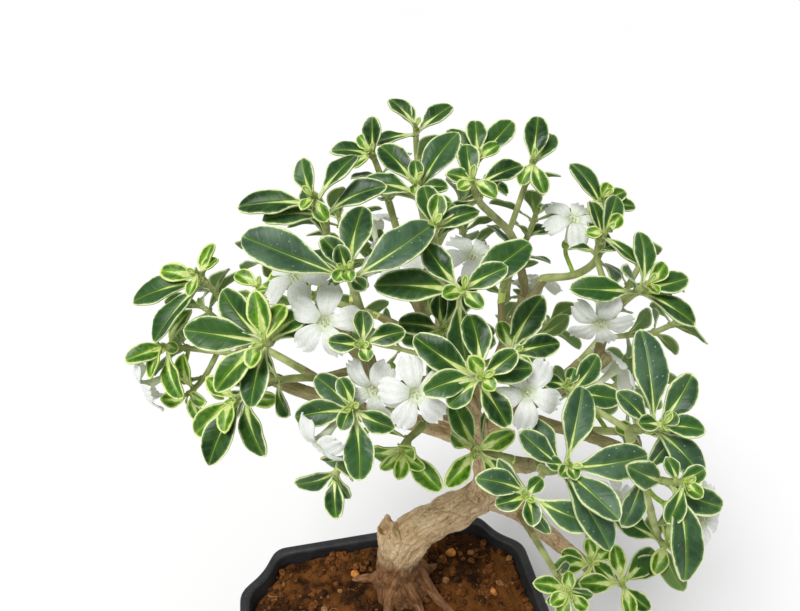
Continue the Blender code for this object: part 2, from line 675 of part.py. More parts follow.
    def place_leaf(self, name, index, root, axis, row, ignore):
        """Adds a leaf, bent or turned aside where something is in its way, or leaves it out."""
        turn, spread, length = row
        for d_turn, d_spread, scale in LEAF_TRIES:
            leaf = Leaf(root, axis, turn + d_turn, spread + d_spread, length * scale)
            rings, tip = leaf.rings((0.2, 0.45, 0.75), mm(LEAF_KEEL + LEAF_CLEARANCE), mm(LEAF_CLEARANCE))
            guard = loft(rings, tip + leaf.chord * mm(LEAF_CLEARANCE))
            if not self.garden.meets(guard, ignore):
                self.garden.add(leaf.solid(), ("leaf", name, index))
                self.leaves[name].append(leaf)
                return


def down_path(path, distance):
    """The point at this distance from the end of a path, measured along it."""
    for i in range(len(path) - 1, 0, -1):
        step = path[i - 1] - path[i]
        if distance < step.length:
            return path[i] + step.normalized() * distance
        distance -= step.length
    return path[0].copy()


def limb_radii(name, path):
    """The radius of a limb at each point of its path, in metres."""
    _, thick, thin = LIMBS[name]
    return [mm(thick + (thin - thick) * i / (len(path) - 1)) for i in range(len(path))]


# Building the nodes

def material(name, colour, roughness):
    made = bpy.data.materials.new(name)
    made.use_nodes = True
    shader = made.node_tree.nodes["Principled BSDF"]
    shader.inputs["Base Color"].default_value = (*colour, 1.0)
    shader.inputs["Roughness"].default_value = roughness
    return made


def new_object(name, bm, finish):
    """A scene object from a bmesh, which is freed."""
    mesh = bpy.data.meshes.new(name)
    bm.to_mesh(mesh)
    bm.free()
    made = bpy.data.objects.new(name, mesh)
    bpy.context.scene.collection.objects.link(made)
    mesh.materials.append(finish)
    return made


def apply_boolean(target, operation, shapes):
    """Joins the shapes to the target, or cuts them from it, and removes them."""
    tools = bpy.data.collections.new("tools")
    for index, shape in enumerate(shapes):
        mesh = bpy.data.meshes.new("tool")
        shape.to_mesh(mesh)
        shape.free()
        tools.objects.link(bpy.data.objects.new(f"tool_{index}", mesh))
    modifier = target.modifiers.new(operation.title(), "BOOLEAN")
    modifier.operation = operation
    modifier.operand_type = "COLLECTION"
    modifier.collection = tools
    modifier.solver = "MANIFOLD"
    bpy.context.view_layer.update()
    result = bpy.data.meshes.new_from_object(target.evaluated_get(bpy.context.evaluated_depsgraph_get()))
    target.modifiers.clear()
    target.data = result
    for tool in list(tools.objects):
        bpy.data.objects.remove(tool)
    bpy.data.collections.remove(tools)
    return target


def pot_outline(inset, z):
    """One ring of the pot's plan: a rectangle whose canted corners bend inwards, drawn in by inset."""
    a = POT_HALF_LENGTH - inset
    b = POT_HALF_DEPTH - inset
    cut_x = CORNER_CUT_X - 0.59 * inset
    cut_y = CORNER_CUT_Y - 0.59 * inset
    bend_in = Vector((cut_y, cut_x)).normalized() * CORNER_BEND
    # From the right side round to the back
    corner = [
        (a, b - cut_y - CORNER_SOFT),
        (a - CORNER_SOFT * 0.6, b - cut_y + CORNER_SOFT * 0.5),
        (a - cut_x / 2 - bend_in.x, b - cut_y / 2 - bend_in.y),
        (a - cut_x + CORNER_SOFT * 0.5, b - CORNER_SOFT * 0.6),
        (a - cut_x - CORNER_SOFT, b),
    ]
    mirrored = [(-x, y) for x, y in reversed(corner)]
    opposite = [(-x, -y) for x, y in corner]
    last = [(x, -y) for x, y in reversed(corner)]
    return [mm(x, y, z) for x, y in [*corner, *mirrored, *opposite, *last]]


def build_pot():
    """The pot's wall is one lofted shell, with feet joined on and drain holes cut through its floor."""
    profile = [
        (9.5, 4.2), (8.0, 5.2), (2.6, 36.0), (0.6, 37.6), (0.0, 39.0), (0.0, 42.6), (1.2, POT_HEIGHT),
        (WALL - 0.8, POT_HEIGHT), (WALL, 43.0), (WALL + 0.4, 41.5), (WALL + 6.0, FLOOR_TOP),
    ]
    glaze = material("glaze", (0.03, 0.033, 0.04), 0.5)
    pot = new_object("pot", loft([pot_outline(inset, z) for inset, z in profile]), glaze)
    feet = [pot_foot(mm(x, y, 0)) for x in (-FOOT_X, FOOT_X) for y in (-FOOT_Y, FOOT_Y)]
    apply_boolean(pot, "UNION", feet)
    holes = []
    for x in (-DRAIN_X, DRAIN_X):
        axis = [mm(x, 0, 1), mm(x, 0, FLOOR_TOP + 6)]
        holes.append(loft(tube_rings(axis, [mm(DRAIN_RADIUS)] * 2, 12)))
    return apply_boolean(pot, "DIFFERENCE", holes)


def pot_foot(centre):
    """A low foot with cut corners, a little smaller at the bottom."""
    rings = []
    for taper, z in ((FOOT_TAPER, 0), (0, FOOT_HEIGHT)):
        x, y = FOOT_HALF_X - taper, FOOT_HALF_Y - taper
        corners = [(x, -y + 2), (x, y - 2), (x - 2, y), (-x + 2, y),
                   (-x, y - 2), (-x, -y + 2), (-x + 2, -y), (x - 2, -y)]
        rings.append([centre + mm(*corner, z) for corner in corners])
    return loft(rings)


def block(centre, size):
    """A plain box."""
    bm = bmesh.new()
    bmesh.ops.create_cube(bm, size=1.0)
    bmesh.ops.scale(bm, vec=size, verts=bm.verts)
    bmesh.ops.translate(bm, vec=centre, verts=bm.verts)
    return bm


def build_screens():
    """Square plastic mesh over each drain hole: a grid of bars."""
    finish = material("mesh_plastic", (0.02, 0.02, 0.02), 0.6)
    z = FLOOR_TOP + GAP / MM + SCREEN_THICK / 2
    for side, x in (("left", -DRAIN_X), ("right", DRAIN_X)):
        bars = []
        for at in (-SCREEN_HALF + SCREEN_BAR / 2, 0, SCREEN_HALF - SCREEN_BAR / 2):
            bars.append(block(mm(x + at, 0, z), mm(SCREEN_BAR, 2 * SCREEN_HALF, SCREEN_THICK)))
            bars.append(block(mm(x, at, z), mm(2 * SCREEN_HALF, SCREEN_BAR, SCREEN_THICK)))
        apply_boolean(new_object(f"drain_screen_{side}", bars[0], finish), "UNION", bars[1:])


def soil_height(x, y):
    """The soil's surface in millimetres: a mound to the trunk, with the unevenness of loose bark."""
    reach = math.hypot(x - TRUNK_FOOT[0], y - TRUNK_FOOT[1])
    rough = noise.noise(Vector((x / 9, y / 9, 3.1))) * 1.4
    return SOIL_EDGE_Z + SOIL_MOUND * math.exp(-(reach / 24) ** 2) + rough


def build_soil():
    """The soil fills the pot, with a rough top, bark lumps raised from it, and a plain hole for the trunk."""
    rings = [pot_outline(WALL + 6.5, FLOOR_TOP + GAP / MM), pot_outline(WALL + 1.5, SOIL_EDGE_Z - 0.5)]
    edge = rings[-1]
    middle = mm(*TRUNK_FOOT, 0)
    for share in (0.82, 0.5):
        ring = []
        for corner in edge:
            place = middle + (corner - middle) * share
            place.z = mm(soil_height(place.x / MM, place.y / MM))
            ring.append(place)
        rings.append(ring)
    soil = new_object("soil", loft(rings), material("soil", (0.12, 0.06, 0.03), 0.95))
    rng = random.Random(11)
    lumps = []
    for _ in range(BARK_LUMPS):
        x, y = rng.uniform(-42, 42), rng.uniform(-27, 27)
        over_roots = math.hypot(x - TRUNK_FOOT[0], y - TRUNK_FOOT[1]) < 22
        in_corner = abs(x) / 46 + abs(y) / 31 > 1.3
        if over_roots or in_corner:
            continue
        lump = bmesh.new()
        bmesh.ops.create_icosphere(lump, subdivisions=1, radius=mm(rng.uniform(1.8, 3.0)))
        bmesh.ops.scale(lump, vec=(1, rng.uniform(0.7, 1), 0.7), verts=lump.verts)
        bmesh.ops.rotate(lump, matrix=Matrix.Rotation(rng.uniform(0, 3), 3, "Z"), verts=lump.verts)
        bmesh.ops.translate(lump, vec=mm(x, y, soil_height(x, y) + 0.2), verts=lump.verts)
        lumps.append(lump)
    apply_boolean(soil, "UNION", lumps)
    side = 2 * SCREEN_HALF + 0.8
    height = 2 * (SCREEN_THICK + 0.7)
    pockets = [block(mm(x, 0, FLOOR_TOP), mm(side, side, height)) for x in (-DRAIN_X, DRAIN_X)]
    return apply_boolean(soil, "DIFFERENCE", [*pockets, *trunk_base(TRUNK_HOLE_GAP)])


def trunk_base(grow=0.0):
    """The trunk and its surface roots, each a closed shape. grow makes them larger, for the soil's hole."""
    path = smooth_path([mm(p) for p, _ in TRUNK_PATH], 2)
    widths = smooth_path([Vector((r, 0, 0)) for _, r in TRUNK_PATH], 2)
    if grow:
        path[0] = path[0] - Vector((0, 0, mm(grow)))
    shapes = [loft(tube_rings(path, [mm(w.x + grow) for w in widths], 8, 0.05))]
    for heading, reach, thick in ROOTS:
        way = direction(heading, 0)
        start = mm(*TRUNK_FOOT, 55)
        course = ((4, 0), (9, -7), (reach * 0.62, -11), (reach + grow, -16.5))
        points = [start + way * mm(away) + mm(0, 0, drop) for away, drop in course]
        radii = [mm(thick * share + grow) for share in (1, 1, 0.85, 0.5)]
        shapes.append(loft(tube_rings(points, radii, 4)))
    return shapes


def build_trunk(plan):
    """Trunk, roots, sawn stump, limbs and branchlets, joined as one grown piece of wood."""
    first, *others = trunk_base()
    rng = random.Random(5)
    stump = smooth_path([mm(p) for p, _ in STUMP_PATH], 2)
    widths = smooth_path([Vector((r, 0, 0)) for _, r in STUMP_PATH], 2)
    rings = tube_rings(stump, [mm(w.x) for w in widths], 8, 0.05)
    rings[-1] = [p + Vector((0, 0, mm(rng.uniform(-1, 1) * STUMP_CUT_ROUGHNESS))) for p in rings[-1]]
    heart = sum(rings[-1], Vector()) / len(rings[-1])
    rings.append([heart + (p - heart) * 0.55 + Vector((0, 0, mm(-rng.uniform(0.6, 2.0)))) for p in rings[-1]])
    others.append(loft(rings))
    for name, path in plan.limb_paths.items():
        others.append(loft(tube_rings(path, limb_radii(name, path), 5)))
    for start, foot in plan.branchlets.values():
        radii = [mm(TWIG_RADIUS + 0.2), mm(TWIG_RADIUS)]
        others.append(loft(tube_rings([start, foot], radii, TWIG_SIDES)))
    trunk = new_object("trunk", first, material("bark", (0.36, 0.25, 0.15), 0.85))
    return apply_boolean(trunk, "UNION", others)


def build_spray(plan, name, finish):
    """One spray: twigs, bloom stalks and leaves, joined as one body."""
    shapes = [loft(tube_rings(path, radii, TWIG_SIDES, 0, first)) for path, radii, first in plan.twigs[name]]
    for path, cup in plan.stalks.get(name, []):
        shapes.append(loft(tube_rings(path, [mm(STALK_RADIUS)] * 4, STALK_SIDES)))
        shapes.append(loft(tube_rings(cup, [mm(0.7), mm(CALYX_RADIUS), mm(0.9)], CALYX_SIDES)))
    shapes += [leaf.solid() for leaf in plan.leaves[name]]
    spray = new_object(f"spray_{name}", shapes[0], finish)
    return apply_boolean(spray, "UNION", shapes[1:])


def build_bloom(plan, name, finish):
    """One white corolla: its tube and five lobes, joined as one body."""
    bloom = plan.blooms[name]
    corolla = new_object(f"bloom_{name}", loft(bloom.tube_rings()), finish)
    return apply_boolean(corolla, "UNION", [bloom.lobe(i) for i in range(LOBES)])


def shade(node, angle):
    """Smooth shading that keeps edges sharper than this angle."""
    node.data.shade_smooth()
    node.data.set_sharp_from_angle(angle=math.radians(angle))


def centre_footprint(nodes):
    """Moves every mesh so that the middle of the whole tree's footprint is over the origin."""
    corners = [vertex.co for node in nodes for vertex in node.data.vertices]
    x = (min(c.x for c in corners) + max(c.x for c in corners)) / 2
    y = (min(c.y for c in corners) + max(c.y for c in corners)) / 2
    for node in nodes:
        node.data.transform(Matrix.Translation((-x, -y, 0)))


def main():
    for old in list(bpy.data.objects):
        bpy.data.objects.remove(old)
    plan = Plan()
    build_pot()
    build_screens()
    build_soil()
    build_trunk(plan)
    leaf_green = material("leaf", (0.06, 0.14, 0.05), 0.45)
    petal_white = material("petal", (0.85, 0.86, 0.82), 0.55)
    for name in plan.shoots:
        build_spray(plan, name, leaf_green)
    for name in plan.blooms:
        build_bloom(plan, name, petal_white)
    nodes = list(bpy.data.objects)
    centre_footprint(nodes)
    for node in nodes:
        shade(node, 40)


if __name__ == "__main__":
    main()
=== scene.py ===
"""A variegated serissa bonsai with white blooms, in a dark rectangular pot.

The frame holds the tree's solids. The drain screens keep theirs. The pot, the soil, the wood, every leafy
spray and every bloom are made again here in finer pieces, in the places that their solids have. Lengths
are in millimetres and angles in degrees, measured from the middle of the pot's base, and mm() turns a
place into metres. A finished piece is moved by HOME, the place of the pot in the frame.
"""

import json
import math
import random

import bmesh
import bpy
from mathutils import Matrix, Vector, noise
from mathutils.bvhtree import BVHTree
from mathutils.kdtree import KDTree

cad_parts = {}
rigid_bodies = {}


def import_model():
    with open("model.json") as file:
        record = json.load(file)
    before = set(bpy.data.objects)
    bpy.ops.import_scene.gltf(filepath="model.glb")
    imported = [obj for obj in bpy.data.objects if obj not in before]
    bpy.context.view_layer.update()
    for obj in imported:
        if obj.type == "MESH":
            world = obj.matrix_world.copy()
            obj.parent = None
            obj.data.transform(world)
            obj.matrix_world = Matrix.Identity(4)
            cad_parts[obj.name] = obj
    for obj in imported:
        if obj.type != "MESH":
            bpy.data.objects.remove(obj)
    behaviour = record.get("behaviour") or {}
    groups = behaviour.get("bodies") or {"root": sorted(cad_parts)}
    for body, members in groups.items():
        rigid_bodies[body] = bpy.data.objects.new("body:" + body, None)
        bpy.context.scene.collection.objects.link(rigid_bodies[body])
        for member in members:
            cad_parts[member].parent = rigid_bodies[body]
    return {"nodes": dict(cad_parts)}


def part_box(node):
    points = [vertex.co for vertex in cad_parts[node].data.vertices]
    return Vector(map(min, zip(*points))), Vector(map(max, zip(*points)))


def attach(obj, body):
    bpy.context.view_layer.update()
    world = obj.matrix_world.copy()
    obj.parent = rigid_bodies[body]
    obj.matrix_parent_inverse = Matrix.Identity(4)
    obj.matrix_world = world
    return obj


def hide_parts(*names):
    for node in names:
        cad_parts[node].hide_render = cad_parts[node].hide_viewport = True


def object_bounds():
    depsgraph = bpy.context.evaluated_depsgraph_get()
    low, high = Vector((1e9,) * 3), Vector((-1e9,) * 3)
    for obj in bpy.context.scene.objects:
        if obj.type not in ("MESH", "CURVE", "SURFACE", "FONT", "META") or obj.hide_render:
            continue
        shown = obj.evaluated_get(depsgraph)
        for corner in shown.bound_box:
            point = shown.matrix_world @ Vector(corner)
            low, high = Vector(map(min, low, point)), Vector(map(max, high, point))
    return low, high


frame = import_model()
cad_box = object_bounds()


# The pot is slip-cast stoneware, glazed in a dull charcoal that breaks to grey on the edges. Its canted
# corners bend inwards, its rim is a rounded band, and it stands on four feet of bare clay, with two holes
# to drain it.

MM = 0.001
pot_low, pot_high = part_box("pot")
HOME = Vector(((pot_low.x + pot_high.x) / 2, (pot_low.y + pot_high.y) / 2, 0))
POT_HALF_LENGTH = (pot_high.x - pot_low.x) / 2 / MM
POT_HALF_DEPTH = (pot_high.y - pot_low.y) / 2 / MM
POT_HEIGHT = pot_high.z / MM
CORNER_CUT_X = 14.0
CORNER_CUT_Y = 16.0
CORNER_BEND = 2.0
CORNER_ROUNDING = 3.6
CUT_NARROWING = 0.59  # how much narrower a canted corner gets for each millimetre of inset
WALL = 3.6
FLOOR_TOP = 9.0
FOOT_X = 35.0
FOOT_Y = 21.5
FOOT_HALF_X = 9.5
FOOT_HALF_Y = 7.0
FOOT_TAPER = 1.5
FOOT_HEIGHT = 5.0
DRAIN_X = 22.0
DRAIN_RADIUS = 5.0
SHARP_EDGE = 45  # faces that meet at a wider angle than this, in degrees, keep a crisp edge


def mm(*place):
    """A place or a size in millimetres, as a vector or a number in metres."""
    if len(place) == 1 and not isinstance(place[0], (tuple, list, Vector)):
        return place[0] * MM
    return Vector(place[0] if len(place) == 1 else place) * MM


def loft(rings, tip=None, root=None):
    """A closed bmesh: a ring extruded through the others. Each end is capped, or drawn to a point."""
    bm = bmesh.new()
    verts = [bm.verts.new(p) for p in rings[0]]
    edges = [bm.edges.new((a, b)) for a, b in zip(verts, verts[1:] + verts[:1])]
    first_verts, first_edges = verts, edges
    for ring in rings[1:]:
        ordered = extrude_ring(bm, edges, verts)
        for vert, place in zip(ordered[0], ring):
            vert.co = place
        verts, edges = ordered
    for end_verts, end_edges, point in ((verts, edges, tip), (first_verts, first_edges, root)):
        if point is None:
            bmesh.ops.contextual_create(bm, geom=end_edges)
        else:
            bmesh.ops.pointmerge(bm, verts=extrude_ring(bm, end_edges, end_verts)[0], merge_co=point)
    bmesh.ops.recalc_face_normals(bm, faces=bm.faces)
    return bm


def extrude_ring(bm, edges, verts):
    """Extrudes a closed ring of edges, and gives the new vertices in the old order and the new edges."""
    made = bmesh.ops.extrude_edge_only(bm, edges=edges)["geom"]
    new_verts = {v for v in made if isinstance(v, bmesh.types.BMVert)}
    ordered = [next(e.other_vert(v) for e in v.link_edges if e.other_vert(v) in new_verts) for v in verts]
    new_edges = [bm.edges.get((a, b)) for a, b in zip(ordered, ordered[1:] + ordered[:1])]
    return ordered, new_edges


def rounded(corners, reach, steps, closed=True):
    """The outline through these corners with each one rounded, from reach before it to reach past it."""
    points = []
    for i, corner in enumerate(corners):
        here = Vector(corner)
        if not closed and i in (0, len(corners) - 1):
            points.append(here)
            continue
        before, after = Vector(corners[i - 1]) - here, Vector(corners[(i + 1) % len(corners)]) - here
        start = here + before * min(reach / before.length, 0.45)
        end = here + after * min(reach / after.length, 0.45)
        for k in range(steps + 1):
            t = k / steps
            points.append(start * (1 - t) ** 2 + here * 2 * t * (1 - t) + end * t * t)
    return points


def pot_outline(inset, z):
    """One ring of the pot's plan, drawn in by inset: a rectangle whose canted corners bend inwards."""
    a, b = POT_HALF_LENGTH - inset, POT_HALF_DEPTH - inset
    cut_x, cut_y = CORNER_CUT_X - CUT_NARROWING * inset, CORNER_CUT_Y - CUT_NARROWING * inset
    bend = Vector((cut_y, cut_x)).normalized() * CORNER_BEND
    corner = [(a, b - cut_y), (a - cut_x / 2 - bend.x, b - cut_y / 2 - bend.y), (a - cut_x, b)]
    outline = [*corner, *[(-x, y) for x, y in reversed(corner)],
               *[(-x, -y) for x, y in corner], *[(x, -y) for x, y in reversed(corner)]]
    return [mm(p.x, p.y, z) for p in rounded(outline, CORNER_ROUNDING, 5)]


def add_piece(name, bm, finishes, stands_for=()):
    """Makes the bmesh an object of the tree, in its place in the frame. It frees the bmesh."""
    return add_mesh(name, mesh_of(bm, name), finishes, stands_for)


def add_mesh(name, mesh, finishes, stands_for=()):
    """Makes the mesh an object of the tree, in its place in the frame."""
    mesh.transform(Matrix.Translation(HOME))
    piece = bpy.data.objects.new(name, mesh)
    bpy.context.scene.collection.objects.link(piece)
    for finish in finishes:
        mesh.materials.append(finish)
    mesh.shade_smooth()
    mesh.set_sharp_from_angle(angle=math.radians(SHARP_EDGE))
    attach(piece, "root")
    if stands_for:
        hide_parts(*stands_for)
    return piece


def mesh_of(bm, name="shape"):
    """A mesh from a bmesh, which is freed."""
    mesh = bpy.data.meshes.new(name)
    bm.to_mesh(mesh)
    bm.free()
    return mesh


def joined(mesh, operation, shapes):
    """The mesh with these closed shapes joined to it or cut from it."""
    tools = bpy.data.collections.new("tools")
    for shape in shapes:
        tools.objects.link(bpy.data.objects.new("tool", mesh_of(shape)))
    target = bpy.data.objects.new("target", mesh)
    bpy.context.scene.collection.objects.link(target)
    modifier = target.modifiers.new("Join", "BOOLEAN")
    modifier.operation = operation
    modifier.operand_type = "COLLECTION"
    modifier.collection = tools
    modifier.solver = "MANIFOLD"
    bpy.context.view_layer.update()
    result = bpy.data.meshes.new_from_object(target.evaluated_get(bpy.context.evaluated_depsgraph_get()))
    for leftover in [*tools.objects, target]:
        bpy.data.objects.remove(leftover)
    bpy.data.collections.remove(tools)
    result.materials.clear()
    return result


class Finish:
    """A material being made. Each method adds a node and gives the socket that comes out of it."""

    def __init__(self, name):
        self.material = bpy.data.materials.new(name)
        self.material.use_nodes = True
        self.tree = self.material.node_tree
        self.shader = self.tree.nodes["Principled BSDF"]
        self.place = self.node("TexCoord", {}).node.outputs["Object"]

    def plug(self, socket, value):
        """Joins a socket to another one, or gives it a number or a colour."""
        if isinstance(value, bpy.types.NodeSocket):
            self.tree.links.new(value, socket)
        elif isinstance(value, (tuple, list)) and socket.type == "RGBA":
            socket.default_value = (*value[:3], 1.0)
        else:
            socket.default_value = value

    def node(self, kind, inputs, **settings):
        made = self.tree.nodes.new("ShaderNode" + kind)
        for name, value in settings.items():
            setattr(made, name, value)
        for name, value in inputs.items():
            self.plug(made.inputs[name], value)
        return made.outputs[0]

    def math(self, operation, a, b=0.0):
        return self.node("Math", {0: a, 1: b}, operation=operation)

    def add(self, a, b):
        return self.math("ADD", a, b)

    def times(self, a, b):
        return self.math("MULTIPLY", a, b)

    def step(self, value, low, high, start=0.0, end=1.0):
        """A soft step from start to end as the value goes from low to high."""
        return self.node("MapRange", {"Value": value, "From Min": low, "From Max": high, "To Min": start,
                                      "To Max": end}, interpolation_type="SMOOTHSTEP")

    def ramp(self, value, low, high, start=0.0, end=1.0):
        """A straight ramp from start to end as the value goes from low to high."""
        return self.node("MapRange", {"Value": value, "From Min": low, "From Max": high, "To Min": start,
                                      "To Max": end})

    def mix(self, share, first, second):
        """From the first colour to the second."""
        made = self.node("Mix", {0: share, 6: first, 7: second}, data_type="RGBA").node
        return made.outputs[2]

    def blend(self, pattern, first, second, low=0.35, high=0.65):
        """From the first colour to the second as the pattern goes from low to high."""
        return self.mix(self.step(pattern, low, high), first, second)

    def read(self, attribute, kind="Fac"):
        """What the mesh says at each point: a number, or a vector where kind is Vector."""
        return self.node("Attribute", {}, attribute_name=attribute).node.outputs[kind]

    def split(self, vector):
        """The three numbers of a vector."""
        return self.node("SeparateXYZ", {"Vector": vector}).node.outputs[:3]

    def noise(self, scale, detail=2.0, roughness=0.5, place=None):
        return self.node("TexNoise", {"Vector": place or self.place, "Scale": scale, "Detail": detail,
                                      "Roughness": roughness})

    def cells(self, scale, place=None, feature="F1"):
        return self.node("TexVoronoi", {"Vector": place or self.place, "Scale": scale}, feature=feature)

    def bump(self, height, depth, strength=1.0):
        """Relief of this depth in millimetres."""
        return self.node("Bump", {"Height": height, "Distance": depth * MM, "Strength": strength})

    def end(self, **looks):
        """Sets the shader's sockets, named with underscores, and gives the material."""
        for name, value in looks.items():
            self.plug(self.shader.inputs[name.replace("_", " ")], value)
        return self.material


def glaze_finish():
    """Dull charcoal glaze over buff clay: mottled, thin on the rim's edges, and wiped off underneath."""
    glaze = Finish("charcoal_glaze")
    geometry = glaze.tree.nodes.new("ShaderNodeNewGeometry")
    height = glaze.split(glaze.place)[2]
    mottle = glaze.noise(90, 5, 0.62)
    fleck = glaze.noise(900, 3, 0.7)
    body = glaze.blend(mottle, (0.016, 0.017, 0.020), (0.040, 0.041, 0.044))
    body = glaze.mix(glaze.step(fleck, 0.60, 0.72, 0, 0.5), body, (0.085, 0.082, 0.078))
    thin = glaze.step(geometry.outputs["Pointiness"], 0.53, 0.60, 0, 0.55)
    body = glaze.mix(thin, body, (0.13, 0.115, 0.10))
    cloud = glaze.step(glaze.noise(55, 4, 0.6), 0.55, 0.75)
    lime = glaze.times(cloud, glaze.step(height, 0.0415, 0.039, 0, 0.3))
    body = glaze.mix(lime, body, (0.25, 0.235, 0.21))
    clay = glaze.mix(glaze.noise(400, 4), (0.16, 0.11, 0.075), (0.26, 0.19, 0.13))
    wiped = glaze.step(glaze.add(height, glaze.times(mottle, 0.0012)), 0.0052, 0.0044)
    colour = glaze.mix(wiped, body, clay)
    rough = glaze.mix(wiped, glaze.ramp(fleck, 0.3, 0.7, 0.36, 0.55), (0.85, 0.85, 0.85))
    relief = glaze.add(glaze.times(mottle, 0.7), glaze.times(fleck, 0.3))
    return glaze.end(Base_Color=colour, Roughness=rough, Specular_IOR_Level=0.45,
                     Normal=glaze.bump(relief, 0.22, 0.6))


def pot_foot(x, y):
    """A low foot with rounded corners, a little smaller at the bottom."""
    rings = []
    levels = ((FOOT_TAPER + 0.5, 0), (FOOT_TAPER, 0.5), (0.3, FOOT_HEIGHT - 0.8), (0, FOOT_HEIGHT))
    for taper, z in levels:
        half_x, half_y = FOOT_HALF_X - taper, FOOT_HALF_Y - taper
        corners = [(half_x, half_y), (-half_x, half_y), (-half_x, -half_y), (half_x, -half_y)]
        rings.append([mm(x + p.x, y + p.y, z) for p in rounded(corners, 3, 4)])
    return loft(rings)


pot_profile = rounded([
    (9.5, 4.2), (8.0, 4.6), (2.6, 36.0), (0.0, 38.3), (0.0, POT_HEIGHT), (WALL, POT_HEIGHT),
    (WALL + 0.4, 41.5), (WALL + 6.0, FLOOR_TOP),
], 1.3, 4, closed=False)
pot_mesh = mesh_of(loft([pot_outline(p.x, p.y) for p in pot_profile]))
feet = [pot_foot(x, y) for x in (-FOOT_X, FOOT_X) for y in (-FOOT_Y, FOOT_Y)]
pot_mesh = joined(pot_mesh, "UNION", feet)
drills = []
for x in (-DRAIN_X, DRAIN_X):
    drill = bmesh.new()
    bmesh.ops.create_cone(drill, cap_ends=True, segments=40, radius1=mm(DRAIN_RADIUS),
                          radius2=mm(DRAIN_RADIUS), depth=mm(14))
    bmesh.ops.translate(drill, vec=mm(x, 0, 8), verts=drill.verts)
    drills.append(drill)
pot_mesh = joined(pot_mesh, "DIFFERENCE", drills)
add_mesh("pot_shell", pot_mesh, [glaze_finish()], ["pot"])


# The drain screens are two squares of black plastic mesh, moulded in one piece each. They lie loose over
# the drain holes, and the soil holds them down.


def screen_finish():
    """Black plastic with brown grime."""
    plastic = Finish("screen_plastic")
    grime = plastic.noise(500, 4, 0.6)
    colour = plastic.blend(grime, (0.014, 0.014, 0.014), (0.075, 0.05, 0.032), 0.45, 0.7)
    return plastic.end(Base_Color=colour, Roughness=plastic.ramp(grime, 0.3, 0.7, 0.42, 0.8),
                       Normal=plastic.bump(grime, 0.08, 0.5))


screen_plastic = screen_finish()
for side in ("left", "right"):
    screen = frame["nodes"][f"drain_screen_{side}"]
    screen.material_slots[0].material = screen_plastic


# The soil is peat with crumbs of bark, clumps of fibre and a few orange granules of fertiliser. It is
# filled in loosely up to the pot's wall, with a low mound at the trunk and a little moss at the front.

SOIL_EDGE_Z = 39.0
SOIL_MOUND = 4.5
MOUND_REACH = 24.0
SOIL_INSET = WALL + 1.1
TRUNK_FOOT = (4.5, 17.0)
SOIL_RING_POINTS = 230
SOIL_RINGS = 44
CRUMBS = 620
CLUMPS = 44
CLUMP_CRUMBS = 7
ROOT_STOCK_REACH = 9.0  # no loose crumb lies nearer to the middle of the trunk
FIBRES = 150
FIBRE_POINTS = 7
GRANULES = [
    (-17.5, -30.5, 2.0), (-24.0, -31.5, 1.9), (-28.0, -28.5, 1.7), (-7.0, -33.0, 2.1), (33.0, -26.5, 1.8),
    (19.0, -7.0, 1.6), (-33.0, 12.0, 1.8), (-12.0, 24.0, 1.7), (26.0, 26.0, 1.9), (38.0, 8.0, 1.6),
]
MOSS = [(2.5, -34.0, 5.5), (10.5, -33.5, 4.0), (-40.0, -6.0, 3.5)]


def direction(heading, rise):
    """The unit vector with this heading, anticlockwise from +X, and rise over the level, in degrees."""
    h, r = math.radians(heading), math.radians(rise)
    return Vector((math.cos(h) * math.cos(r), math.sin(h) * math.cos(r), math.sin(r)))


def soil_height(x, y):
    """The soil's surface in millimetres: a mound to the trunk, with the unevenness of loose bark."""
    reach = math.hypot(x - TRUNK_FOOT[0], y - TRUNK_FOOT[1])
    rough = noise.noise(Vector((x / 9, y / 9, 3.1))) * 1.4
    return SOIL_EDGE_Z + SOIL_MOUND * math.exp(-(reach / MOUND_REACH) ** 2) + rough


def crumbly_height(x, y):
    """The surface with its finer lumps."""
    lumps = noise.fractal(Vector((x / 3.4, y / 3.4, 8.0)), 0.7, 2.1, 4) * 0.85
    return soil_height(x, y) + lumps


def even_ring(ring, count):
    """A closed ring of this many points, evenly spaced along the given one."""
    closed = [*ring, ring[0]]
    reaches = [0.0]
    for a, b in zip(closed, closed[1:]):
        reaches.append(reaches[-1] + (b - a).length)
    points, i = [], 0
    for k in range(count):
        target = reaches[-1] * k / count
        while reaches[i + 1] < target:
            i += 1
        share = (target - reaches[i]) / (reaches[i + 1] - reaches[i])
        points.append(closed[i].lerp(closed[i + 1], share))
    return points


def earth_finish():
    """Peat: near black where it is damp, red-brown where it is fibrous, with pale dry specks."""
    earth = Finish("peat")
    coarse = earth.noise(260, 5, 0.65)
    fine = earth.noise(1500, 4, 0.7)
    patch = earth.noise(60, 2, 0.5)
    colour = earth.blend(coarse, (0.020, 0.007, 0.002), (0.150, 0.054, 0.011))
    colour = earth.mix(earth.times(earth.step(patch, 0.45, 0.68), 0.55), colour, (0.24, 0.090, 0.018))
    colour = earth.mix(earth.times(earth.step(patch, 0.50, 0.36), 0.75), colour, (0.014, 0.005, 0.002))
    colour = earth.mix(earth.step(fine, 0.60, 0.72, 0, 0.7), colour, (0.36, 0.165, 0.045))
    relief = earth.add(earth.times(coarse, 0.6), earth.times(fine, 0.4))
    return earth.end(Base_Color=colour, Roughness=earth.ramp(fine, 0.3, 0.7, 0.75, 0.98),
                     Specular_IOR_Level=0.12, Normal=earth.bump(relief, 0.9, 0.9))


